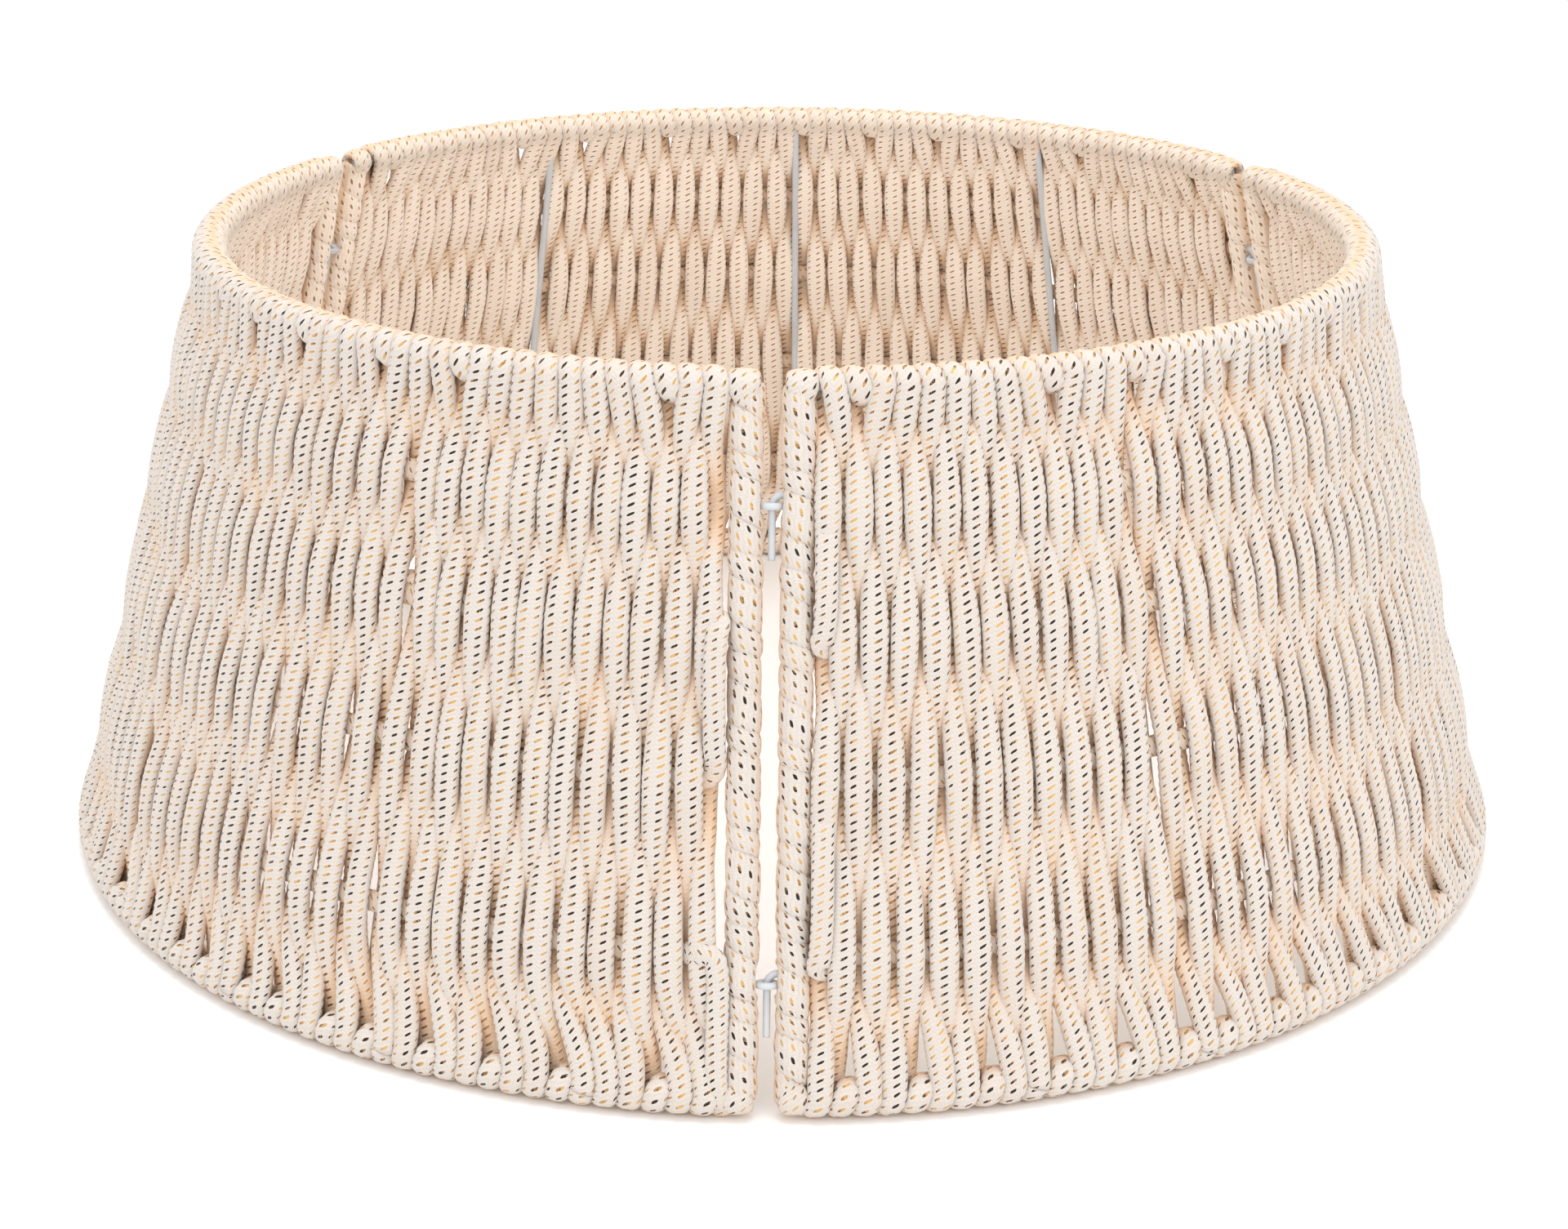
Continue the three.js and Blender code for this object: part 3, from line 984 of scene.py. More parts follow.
@dataclass
class WireFrame:
    """The welded frame of a panel, with its hooks and rings."""

    wall: Wall
    dresser: Dresser
    rail_wire: float = 3.5 * MM
    rib_wire: float = 3.4 * MM
    pin_wire: float = 2.9 * MM
    eye_wire: float = 2.8 * MM
    hook_step: float = 0.7 * MM
    rib_play: float = 0.3 * MM
    ribs: int = 3
    sides: int = 14
    rail_points: int = 97
    straight_points: int = 12
    bend_points: int = 12
    ring_points: int = 36
    pin_rounding: float = 0.75  # share of the pin's section that its rounded tip loses

    def tube(self) -> TubeMesh:
        """An empty mesh for round wire."""
        return TubeMesh(sides=self.sides, roundness=2.0)

    def build(self, panel: Panel) -> None:
        """Makes every wire of one panel.

        Args:
            panel: The panel.
        """
        self.rails(panel)
        self.uprights(panel)
        self.upright_ribs(panel)
        for place in ("upper", "lower"):
            self.hook(panel, place)
            self.ring(panel, place)

    def wire(
        self, panel: Panel, part: str, path: np.ndarray, across: np.ndarray, size: np.ndarray | float
    ) -> None:
        """Makes one wire and seats it.

        Args:
            panel: Its panel.
            part: Its CAD node's name without the panel's.
            path: Its middle line, in the right panel's place.
            across: A direction square to the path, or one for each point.
            size: Its diameter, or one for each point.
        """
        mesh = self.tube()
        across = np.broadcast_to(across, path.shape)
        mesh.add(turned(path, panel.turn), turned(across, panel.turn), size, size)
        node = f"{panel.label}_{part}"
        self.dresser.seat(mesh, f"{node}_wire", panel, (node,), braided=False)

    def rails(self, panel: Panel) -> None:
        """Bends both rails from upright to upright.

        Args:
            panel: The panel.
        """
        for part, along in (("bottom_rail", 0.0), ("top_rail", self.wall.length)):
            edge = self.wall.angle_in(End.PIN, self.wall.upright_side, along)
            angle = np.linspace(edge, self.wall.panel_angle - edge, self.rail_points)
            path = self.wall.point(angle, np.full_like(angle, along), 0.0)
            self.wire(panel, part, path, self.wall.up(End.PIN), self.rail_wire)

    def straight(self) -> np.ndarray:
        """Distances up the wall of the points of a wire that stands from rail to rail."""
        past = self.rail_wire / 2
        return np.linspace(-past, self.wall.length + past, self.straight_points)

    def uprights(self, panel: Panel) -> None:
        """Stands both end uprights.

        Args:
            panel: The panel.
        """
        for end in End:
            along = self.straight()
            path = self.wall.beside(end, self.wall.upright_side, 0.0, along)
            across = turned(np.array([1.0, 0, 0]), end.value * self.wall.panel_angle)
            self.wire(panel, f"{end.name.lower()}_end_upright", path, across, self.rail_wire)

    def upright_ribs(self, panel: Panel) -> None:
        """Stands the ribs against the inner side of the rails.

        Args:
            panel: The panel.
        """
        out = -(self.rail_wire / 2 + self.rib_play + self.rib_wire / 2)
        for number in range(1, self.ribs + 1):
            angle = self.wall.panel_angle * number / (self.ribs + 1)
            along = self.straight()
            path = self.wall.point(np.full_like(along, angle), along, out)
            across = turned(np.array([1.0, 0, 0]), angle)
            self.wire(panel, f"rib_{number}", path, across, self.rib_wire)

    def hook(self, panel: Panel, place: str) -> None:
        """Bends a hook whose end stands as a hinge pin.

        Args:
            panel: The panel that carries it.
            place: upper or lower.
        """
        low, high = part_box(f"right_{place}_pin")
        lift = self.pin_wire / 2
        arm = self.wall.along_at(high.z - lift * self.wall.cos_lean)
        tip = self.wall.along_at(low.z + lift * self.wall.sin_lean)
        ring_low, ring_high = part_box(f"left_{place}_eye")
        bend = arm - self.wall.along_at((ring_low.z + ring_high.z) / 2)
        angle = np.linspace(0, np.pi / 2, self.bend_points)
        side = np.concatenate([[self.wall.upright_side], bend * (1 - np.sin(angle)), [0, 0]])
        drop = arm - bend * (1 - np.cos(angle))
        along = np.concatenate([[arm], drop, [(arm - bend + tip) / 2, tip]])
        flat = np.stack([side, along], axis=1)
        flat, _ = evenly(flat, np.column_stack([flat, np.zeros(len(flat))]), self.hook_step)
        path = self.wall.beside(End.PIN, flat[:, 0], 0.0, flat[:, 1])
        outward = np.array([0, -self.wall.cos_lean, self.wall.sin_lean])
        end = np.clip((flat[:, 1] - tip) / (self.pin_wire / 2), 0, 1)
        taper = np.sqrt(1 - (1 - end) ** 2 * self.pin_rounding)
        self.wire(panel, f"{place}_pin", path, outward, self.pin_wire * taper)

    def ring(self, panel: Panel, place: str) -> None:
        """Closes a ring on the end upright of the far end.

        Args:
            panel: The panel that carries it.
            place: upper or lower.
        """
        low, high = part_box(f"left_{place}_eye")
        height = self.wall.along_at((low.z + high.z) / 2)
        radius = high.x - self.eye_wire / 2
        beta = np.linspace(0, 2 * np.pi, self.ring_points, endpoint=False)
        path = self.wall.beside(End.EYE, -radius * np.cos(beta), radius * np.sin(beta), height)
        mesh = self.tube()
        up = turned(self.wall.up(End.EYE), panel.turn)
        mesh.add(turned(path, panel.turn), up, self.eye_wire, self.eye_wire, closed=True)
        reach = np.linspace(radius, self.wall.upright_side, 6)
        stem = self.wall.beside(End.EYE, reach, 0.0, height)
        mesh.add(turned(stem, panel.turn), up, self.eye_wire, self.eye_wire)
        node = f"{panel.label}_{place}_eye"
        self.dresser.seat(mesh, f"{node}_wire", panel, (node,), braided=False)


@dataclass
class Weave:
    """Sizes that the warp and the weft share."""

    wall: Wall
    braid: Braid
    rail_wire: float = 3.5 * MM
    cord_width: float = 10.0 * MM
    cord_depth: float = 6.0 * MM
    weft_width: float = 8.6 * MM
    weft_depth: float = 3.7 * MM
    weft_past_cad: float = 0.6 * MM  # how much wider the weft is than its CAD solid
    weft_out: float = 1.05 * MM  # of the wall, to the weft's middle
    weft_spread: float = 1.18  # each space between rows is this many times the one above it
    weft_rows: int = 4
    edge: float = 16.5 * MM  # from a seam's plane to the first leg's side
    pressed: float = 4.3 * MM  # depth of a leg where it lies on the weft

    @property
    def rail_reach(self) -> float:
        """From a rail's middle to the middle of the cord round it."""
        return (self.rail_wire + self.cord_depth) / 2

    @property
    def front(self) -> float:
        """Place out of the wall of a leg that passes outside the weft."""
        return self.weft_out + (self.weft_depth + self.pressed) / 2

    @property
    def back(self) -> float:
        """Place out of the wall of a leg that passes inside the weft."""
        return self.weft_out - (self.weft_depth + self.pressed) / 2

    def row_places(self) -> np.ndarray:
        """Distances up the wall of the weft's rows, from the top one down.

        Returns:
            One distance for each row.
        """
        low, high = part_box("right_weft")
        half = (self.weft_width - self.weft_past_cad) / 2 * self.wall.cos_lean
        top = self.wall.along_at(high.z - half)
        bottom = self.wall.along_at(low.z + half)
        spaces = self.weft_spread ** np.arange(self.weft_rows - 1)
        passed = np.concatenate([[0], np.cumsum(spaces)]) / spaces.sum()
        return top - (top - bottom) * passed


@dataclass
class Warp:
    """One cord wound over both rails, its legs crossing from face to face between the rows."""

    weave: Weave
    dresser: Dresser
    bay_loops: tuple[int, ...] = (11, 11, 11, 11)
    pieces_per_bay: int = 2
    rib_room: float = 3.2 * MM  # that the legs leave between them for a rib
    pin_side: float = 17.8 * MM  # from a seam's plane to the legs' side, between the rails
    eye_side: float = 20.4 * MM
    ending: float = 6 * MM  # length of cord that narrows to each end
    rim_width: float = 9.6 * MM  # of the cord where it goes round a rail
    rim_pitch: float = 9.15 * MM  # from turn to turn there
    rim_offset: float = 0.1  # turns from the edge to the first leg behind the top rail
    step: float = 2.5 * MM  # between the points that a leg is worked out at
    sway: float = 0.65 * MM  # how far a leg wanders to its sides
    sway_waves: tuple[float, float] = (20, 45)  # radians to the metre of those bends
    top_fan: float = 34 * MM  # from the rail to where the legs stand evenly again
    bottom_fan: float = 46 * MM
    uneven: float = 3.0 * MM  # how far up or down one leg crosses from another
    row_space: float = 50 * MM
    ease: float = 0.45  # how far a crossing is a curve, and not a straight run
    free_reach: float = 9 * MM  # length of leg, each way, that is round midway between two rows
    weft_reach: float = 7 * MM  # that is pressed flat at a row
    rim_reach: float = 9 * MM  # that changes to the rail's width
    foot_fuller: float = 0.09  # how much wider the legs are at their feet
    width_play: float = 0.02
    width_wave: float = 0.015
    width_waves: tuple[float, float] = (60, 110)  # radians to the metre
    free_narrower: float = 0.14  # shares of the cord's width and depth
    free_deeper: float = 0.2
    weft_wider: float = 0.04
    turn_points: int = 10  # for each half turn round a rail
    last_turn: float = 0.2  # turns that the cord goes on past its last leg
    seed: int = 7
    slow_twist: tuple[float, float] = (0.05, 2.3)  # turns, and radians to the metre
    quick_twist: tuple[float, float] = (0.03, 9.1)

    def slots(self) -> np.ndarray:
        """Where the legs stand across the panel at mid height, as shares of its width.

        Returns:
            Two shares for each loop: its leg up and its leg down.
        """
        wall = self.weave.wall
        middle = wall.length / 2
        edge = float(wall.angle_in(End.PIN, self.weave.edge, middle))
        bays = len(self.bay_loops)
        marks = [
            float(wall.angle_in(End.PIN, self.pin_side, middle)),
            *(wall.panel_angle * n / bays for n in range(1, bays)),
            float(wall.angle_in(End.EYE, self.eye_side, middle)),
        ]
        room = self.rib_room / 2 / float(wall.radius(middle))
        places = []
        for n, loops in enumerate(self.bay_loops):
            low = marks[n] + (room if n else 0)
            high = marks[n + 1] - (room if n + 1 < bays else 0)
            places.append(low + (high - low) * (np.arange(2 * loops) + 0.5) / (2 * loops))
        return (np.concatenate(places) - edge) / (wall.panel_angle - 2 * edge)

    def crossings(self, rising: bool) -> tuple[np.ndarray, np.ndarray]:
        """Distances up the wall, and places out of it, that a leg passes through.

        Args:
            rising: Whether the leg runs up from the front of the bottom rail.

        Returns:
            Distances up the wall from the bottom rail, and places out of it.
        """
        w = self.weave
        rows = w.row_places()[::-1]
        along = np.concatenate([[0], rows, [w.wall.length]])
        signs = (-1) ** np.arange(w.weft_rows + 2) * (1 if rising else -1)
        out = np.where(signs > 0, w.front, w.back)
        out[[0, -1]] = signs[[0, -1]] * w.rail_reach
        return along, out

    def leg(
        self, low: float, middle: float, high: float, rising: bool, rng: np.random.Generator
    ) -> np.ndarray:
        """Rows of share, along, out, width and depth from the bottom of a leg to its top.

        Args:
            low: Share of the panel's width at the bottom rail.
            middle: Share between the rails.
            high: Share at the top rail.
            rising: Whether the leg runs up from the front of the bottom rail.
            rng: The source of its unevenness.

        Returns:
            The rows.
        """
        w = self.weave
        along_marks, out_marks = self.crossings(rising)
        along = np.linspace(0, w.wall.length, 1 + round(w.wall.length / self.step))
        span = np.clip(np.searchsorted(along_marks, along, side="right") - 1, 0, len(along_marks) - 2)
        part = (along - along_marks[span]) / (along_marks[span + 1] - along_marks[span])
        late = rng.normal(0, self.uneven, len(along_marks) - 1)[span] / self.row_space
        shifted = part + late * np.sin(np.pi * part) ** 2
        passed = self.ease * eased(shifted) + (1 - self.ease) * np.clip(shifted, 0, 1)
        out = out_marks[span] + (out_marks[span + 1] - out_marks[span]) * passed
        near_low = 1 - eased(along / self.bottom_fan)
        near_high = (1 - np.clip((w.wall.length - along) / self.top_fan, 0, 1)) ** 2
        share = middle + (low - middle) * near_low + (high - middle) * near_high
        span_length = along_marks[span + 1] - along_marks[span]
        free = np.exp(-(((part - 0.5) * span_length) / self.free_reach) ** 2)
        on_weft = np.exp(-((np.minimum(part, 1 - part) * span_length) / self.weft_reach) ** 2)
        at_rim = np.exp(-((np.minimum(along, w.wall.length - along)) / self.rim_reach) ** 2)
        on_weft = on_weft * (1 - at_rim)
        fuller = 1 + self.foot_fuller * (1 - along / w.wall.length)
        body = 1 + rng.normal(0, self.width_play)
        wave = np.sin(along * rng.uniform(*self.width_waves) + rng.uniform(0, 6))
        body = body + self.width_wave * wave
        width = w.cord_width * fuller * body
        width = width * (1 - self.free_narrower * free + self.weft_wider * on_weft)
        width = width + (self.rim_width - width) * at_rim
        depth = w.cord_depth * (1 + self.free_deeper * free)
        depth = depth + (w.pressed - w.cord_depth) * on_weft
        waves = rng.uniform(*self.sway_waves, 2)
        phase = rng.uniform(0, 2 * np.pi, 2)
        drift = np.sin(along[:, None] * waves + phase).sum(axis=1) * self.sway
        drift *= np.sin(np.pi * along / w.wall.length)
        arc = w.wall.panel_angle * w.wall.radius(along)
        return np.stack([share + drift / arc, along, out, width, depth], axis=1)

    def turn(self, low: float, high: float, top: bool, turns: int) -> np.ndarray:
        """Rows of share, along, out, width and depth round a rail.

        Args:
            low: Share of the panel's width where the cord comes to the rail.
            high: Share where it leaves.
            top: Whether this is the top rail, met from the back and left at the front.
            turns: Full turns besides the half turn.

        Returns:
            The rows.
        """
        w = self.weave
        whole = 2 * turns + 1
        count = self.turn_points * whole
        part = np.linspace(0, 1, count + 1)[1:-1]
        angle = np.pi - np.pi * whole * part if top else np.pi + np.pi * whole * part
        share = low + (high - low) * part
        base = w.wall.length if top else 0.0
        along = base + w.rail_reach * np.sin(angle)
        out = w.rail_reach * np.cos(angle)
        size = np.ones_like(part)
        return np.stack([share, along, out, self.rim_width * size, w.cord_depth * size], axis=1)

    def spare_turns(self, middles: np.ndarray, along: float) -> np.ndarray:
        """How many extra turns each loop takes round a rail, so that the rail is covered.

        Args:
            middles: Where the loops stand, as shares of the panel's width.
            along: Distance up the wall to the rail.

        Returns:
            Extra turns after each loop.
        """
        wall = self.weave.wall
        edge = float(wall.angle_in(End.PIN, self.weave.edge, along))
        width = (wall.panel_angle - 2 * edge) * wall.radius(along)
        total = round(width / self.rim_pitch)
        turns = np.zeros(len(middles), int)
        for i in range(len(middles) - 1):
            packed = i + 1.5 + turns[:i].sum()  # to the next loop's middle, with no more turns
            turns[i] = max(0, round(middles[i + 1] * total - packed))
        return turns

    def route(self, rng: np.random.Generator) -> tuple[np.ndarray, list[int]]:
        """The whole cord of a panel, and where its pieces end.

        Args:
            rng: The source of its unevenness.

        Returns:
            Rows of share, along, out, width and depth, and the last row of each piece.
        """
        slots = self.slots()
        loops = sum(self.bay_loops)
        number = np.arange(loops)
        middles = (slots[::2] + slots[1::2]) / 2
        top_turns = self.spare_turns(middles, self.weave.wall.length)
        bottom_turns = self.spare_turns(middles, 0.0)
        top_total = loops + top_turns.sum()
        bottom_total = loops + bottom_turns.sum()
        shares = number[:, None] + np.array([self.rim_offset, self.rim_offset + 0.5])
        before_top = np.cumsum(top_turns) - top_turns
        before_bottom = np.cumsum(bottom_turns) - bottom_turns
        arrive = (shares[:, 0] + before_top) / top_total
        leave = (shares[:, 1] + before_top + top_turns) / top_total
        foot = (number + 0.5 - self.rim_offset + before_bottom) / bottom_total
        heel = foot + 0.5 / bottom_total
        ends = np.cumsum(np.repeat(self.bay_loops, self.pieces_per_bay) / self.pieces_per_bay)
        ends = {math.ceil(end) for end in ends}
        rows = [self.turn(foot[0] - 0.5 / bottom_total, foot[0], False, 0)]
        cuts = []
        for i in range(loops):
            up, down = slots[2 * i], slots[2 * i + 1]
            rows.append(self.leg(foot[i], up, arrive[i], True, rng))
            rows.append(self.turn(arrive[i], leave[i], True, top_turns[i]))
            rows.append(self.leg(heel[i], down, leave[i], False, rng)[::-1])
            following = foot[i + 1] if i + 1 < loops else heel[i] + self.last_turn / bottom_total
            rows.append(self.turn(heel[i], following, False, bottom_turns[i]))
            if i + 1 in ends:
                cuts.append(sum(map(len, rows)) - 1)
        return np.vstack(rows), cuts

    def build(self, panel: Panel) -> None:
        """Winds the cord of one panel, in a few pieces for each bay.

        Args:
            panel: The panel.
        """
        rng = np.random.default_rng(self.seed + panel.value)
        rows, cuts = self.route(rng)
        path = self.placed(rows)
        ends = np.round(lengths_along(path)[cuts] / self.weave.braid.step).astype(int)
        rows, at = evenly(rows, path, self.weave.braid.step)
        rows[:, 3:] *= tapered(at, self.ending)[:, None]
        path, angle = self.placed(rows), self.angles(rows)
        across = np.stack([np.cos(angle), np.sin(angle), np.zeros_like(angle)], axis=1)
        path, across = turned(path, panel.turn), turned(across, panel.turn)
        (slow, slow_wave), (quick, quick_wave) = self.slow_twist, self.quick_twist
        twist = slow * np.sin(at * slow_wave + panel.value) + quick * np.sin(at * quick_wave)
        first = 0
        for number, end in enumerate(ends):
            part = slice(first, min(end, len(at) - 1) + 1)
            mesh = TubeMesh(braid_sizes=self.weave.braid)
            width, depth = rows[part, 3], rows[part, 4]
            mesh.add(path[part], across[part], width, depth, twist=twist[part], along=at[part])
            bay, half = divmod(number, self.pieces_per_bay)
            name = f"{panel.label}_warp_bay_{bay + 1}_{'ab'[half]}"
            self.dresser.seat(mesh, name, panel, (f"{panel.label}_warp",), braided=True)
            first = end
        LOG.info("%s warp cord: %.1f m", panel.label, at[-1])

    def angles(self, rows: np.ndarray) -> np.ndarray:
        """Angles round the ring of rows of the route.

        Args:
            rows: Rows of share, along, out, width and depth.

        Returns:
            Radians in the right panel's place.
        """
        wall = self.weave.wall
        edge = wall.angle_in(End.PIN, self.weave.edge, rows[:, 1])
        return edge + rows[:, 0] * (wall.panel_angle - 2 * edge)

    def placed(self, rows: np.ndarray) -> np.ndarray:
        """Points of rows of the route.

        Args:
            rows: Rows of share, along, out, width and depth.

        Returns:
            Rows of X, Y, Z in the right panel's place.
        """
        return self.weave.wall.point(self.angles(rows), rows[:, 1], rows[:, 2])


@dataclass
class Weft:
    """One cord that snakes between the legs in four rows."""

    weave: Weave
    dresser: Dresser
    first_side: float = 24 * MM  # from a seam's plane to where the cord starts
    row_start: float = 34 * MM  # the same to where a row is level
    row_points: int = 28
    turn_side: float = 20.0 * MM
    turn_out: float = 7.0 * MM
    ending: float = 6 * MM  # length of cord that narrows to each end
    twist: tuple[float, float] = (0.3, 5.0)  # turns, and radians to the metre
    # sides from the seam's plane, heights from the last row, and places out of the wall
    tail: tuple[tuple[float, float, float], ...] = (
        (29 * MM, 0.0, 3.0 * MM),
        (25 * MM, 0.5 * MM, 6.2 * MM),
        (20 * MM, 0.0, 7.0 * MM),
        (18 * MM, -6 * MM, 6.8 * MM),
        (18 * MM, -22 * MM, 6.0 * MM),
        (18.4 * MM, -42 * MM, 5.6 * MM),
        (18 * MM, -53 * MM, 5.0 * MM),
        (18 * MM, -58.4 * MM, 2.0 * MM),
        (18 * MM, -58.4 * MM, -2.0 * MM),
        (18 * MM, -53 * MM, -4.4 * MM),
        (18 * MM, -48 * MM, -4.4 * MM),
    )

    def build(self, panel: Panel) -> None:
        """Lays the weft of one panel.

        Args:
            panel: The panel.
        """
        w, wall = self.weave, self.weave.wall
        rows = w.row_places()
        marks = []
        for n, along in enumerate(rows):
            towards = End.PIN if n % 2 == 0 else End.EYE
            start = float(wall.angle_in(End.PIN, self.row_start, along))
            sweep = np.linspace(start, wall.panel_angle - start, self.row_points)
            if towards is End.PIN:
                sweep = sweep[::-1]
            if n == 0:
                marks += self.placed(End.EYE, along, ((self.first_side, 0.0, w.weft_out),))
            marks += [(float(a), along, w.weft_out) for a in sweep]
            if n + 1 < len(rows):
                marks += self.turn(towards, along, rows[n + 1])
            else:
                marks += self.placed(towards, along, self.tail)
        route = rounded_route(np.array(marks))
        path = wall.point(route[:, 0], route[:, 1], route[:, 2])
        route, at = evenly(route, path, w.braid.step)
        path = wall.point(route[:, 0], route[:, 1], route[:, 2])
        outward = wall.point(route[:, 0], route[:, 1], route[:, 2] + MM) - path
        across = np.cross(np.gradient(path, axis=0), outward)
        size = tapered(at, self.ending)
        most, wave = self.twist
        mesh = TubeMesh(braid_sizes=w.braid)
        mesh.add(
            turned(path, panel.turn),
            turned(across, panel.turn),
            w.weft_width * size,
            w.weft_depth * size,
            twist=most * np.sin(at * wave),
            along=at,
        )
        name = f"{panel.label}_weft"
        self.dresser.seat(mesh, f"{name}_cord", panel, (name,), braided=True)

    def placed(
        self, end: End, base: float, shape: tuple[tuple[float, float, float], ...]
    ) -> list[tuple[float, float, float]]:
        """Marks of a shape that is given from the seam.

        Args:
            end: The panel's end.
            base: Distance up the wall that the shape's heights start from.
            shape: Sides from the seam's plane, heights and places out of the wall.

        Returns:
            Angles, distances up the wall and places out of it.
        """
        wall = self.weave.wall
        return [(float(wall.angle_in(end, side, base + up)), base + up, out) for side, up, out in shape]

    def turn(self, end: End, upper: float, lower: float) -> list[tuple[float, float, float]]:
        """Marks where the cord drops from a row to the next beside a wrap.

        The turn shows its round lower end at the pins, and its round upper end at the rings.

        Args:
            end: The panel's end.
            upper: Distance up the wall of the upper row.
            lower: Distance up the wall of the lower row.

        Returns:
            Angles, distances up the wall and places out of it.
        """
        drop = upper - lower
        out, side = self.weave.weft_out, self.turn_side
        level = (
            (side + 4 * MM, 0.5 * MM, out),
            (side, 5 * MM, out + 1.5 * MM),
            (side, 0.25 * drop, out + 4.2 * MM),
            (side, 0.5 * drop, self.turn_out),
            (side, 0.8 * drop, self.turn_out + 0.5 * MM),
            (side - 0.7 * MM, drop - 0.5 * MM, self.turn_out),
            (side - 1.5 * MM, drop + 3.5 * MM, self.turn_out - 1.5 * MM),
            (side + 0.5 * MM, drop + 5.5 * MM, out + 1.5 * MM),
            (side + 5 * MM, drop + 3.5 * MM, out - 0.5 * MM),
            (side + 10 * MM, drop + 0.5 * MM, out),
        )
        if end is End.PIN:
            return self.placed(end, upper, tuple((s, -down, n) for s, down, n in level))
        return self.placed(end, lower, level)[::-1]


@dataclass
class EdgeWraps:
    """Cord wound round the end uprights, with a turn over each of their ends."""

    weave: Weave
    dresser: Dresser
    pitch: float = 12.7 * MM
    overlap: float = 1.04  # width of the flattened cord, in shares of the pitch
    stray: float = 1.2 * MM
    cap_width: float = 12.4 * MM
    cap_end: float = 8.0 * MM  # its width where it is tucked under the other turns
    cap_side: float = 10.8 * MM  # from a seam's plane to the middle of the turn over an end
    depth: float = 5.0 * MM
    cap_depth: float = 4.6 * MM
    braids: float = 1.5  # times round the flattened cord that the columns go
    reach: float = 4.15 * MM  # from the upright's middle to the cord's
    cap_reach: float = 4.4 * MM  # the same over its ends
    eye_room: float = 5.4 * MM  # that the cord leaves round a ring
    per_turn: int = 24  # points worked out for each turn
    top_gap: float = 1.0 * MM  # from the top rail's middle down to the last turn
    seed: int = 40
    stray_wave: float = 0.37  # turns are this unevenly spaced, in radians for each radian wound
    wander: tuple[float, float] = (0.2 * MM, 0.43)  # in and out, and its wave for each radian
    twist: tuple[float, float] = (0.15, 0.21)  # turns, and their wave for each radian
    tucked_reach: float = 0.45  # shares of the cord's reach and width at its two ends
    tucked_width: float = 0.6
    arch_points: int = 13  # over an end of the upright
    cap_legs: tuple[float, ...] = (9 * MM, 5 * MM, 2 * MM)  # that the cap runs on past the rail
    cap_tucks: tuple[float, ...] = (1.6 * MM, 1.0 * MM, 0.2 * MM)  # and lies deeper there
    cap_levels: tuple[float, ...] = (0.0, 0.3, 0.75)  # of its full size and place
    eye_below: float = 0.3 * MM  # how far past a ring and a pin the cord is pressed back
    eye_above: float = 0.4 * MM
    eye_fade: float = 3.0 * MM

    def build(self, panel: Panel) -> None:
        """Winds both ends of a panel.

        Args:
            panel: The panel.
        """
        for end in End:
            self.wind(panel, end)

    def wind(self, panel: Panel, end: End) -> None:
        """Winds one end of a panel.

        Args:
            panel: The panel.
            end: The end.
        """
        rng = np.random.default_rng(self.seed + 2 * panel.value + end.value)
        mesh = TubeMesh(roundness=2.0, braid_sizes=self.weave.braid)
        self.winding(mesh, end, rng)
        for base, sign in ((0.0, -1), (self.weave.wall.length, 1)):
            self.cap(mesh, end, base, sign, rng)
        self.part(mesh, end)
        for block in mesh.points:
            block[:] = turned(block, panel.turn)
        name = f"{panel.label}_{end.name.lower()}_end_wrap"
        self.dresser.seat(mesh, f"{name}_cord", panel, (name,), braided=True)

    def winding(self, mesh: TubeMesh, end: End, rng: np.random.Generator) -> None:
        """Adds the cord wound round an upright.

        Args:
            mesh: The mesh that it is added to, in the right panel's place.
            end: The upright's end of the panel.
            rng: The source of its unevenness.
        """
        wall = self.weave.wall
        height = wall.length - self.top_gap
        turns = height / self.pitch
        angle = np.linspace(0, 2 * np.pi * turns, int(turns * self.per_turn))
        along = height * angle / angle[-1]
        along = along + self.stray * np.sin(angle * self.stray_wave + rng.uniform(0, 6))
        spacing = np.gradient(along, angle) * 2 * np.pi
        tucked = eased(np.minimum(angle, angle[-1] - angle) / np.pi)
        most, wave = self.wander
        reach = self.reach * (self.tucked_reach + (1 - self.tucked_reach) * tucked)
        reach = reach + most * np.sin(angle * wave + rng.uniform(0, 6))
        width = spacing * self.overlap * (self.tucked_width + (1 - self.tucked_width) * tucked)
        rows = np.stack([angle, along, reach, width], axis=1)
        rows, at = evenly(rows, self.wound(end, angle, along, reach), self.weave.braid.step)
        angle, along, reach, width = rows.T
        path = self.wound(end, angle, along, reach)
        most, wave = self.twist
        twist = most * np.sin(angle * wave)
        mesh.add(path, wall.up(end), width, self.depth, twist=twist, around=self.braids, along=at)

    def wound(self, end: End, angle: np.ndarray, along: np.ndarray, reach: np.ndarray) -> np.ndarray:
        """Points round an upright.

        Args:
            end: The upright's end of the panel.
            angle: Radians wound.
            along: Distances up the wall.
            reach: Distances from the upright's middle.

        Returns:
            Rows of X, Y, Z in the right panel's place.
        """
        hand = 1 if end is End.PIN else -1
        wall = self.weave.wall
        side = wall.upright_side + reach * np.cos(angle)
        return wall.beside(end, side, hand * reach * np.sin(angle), along)

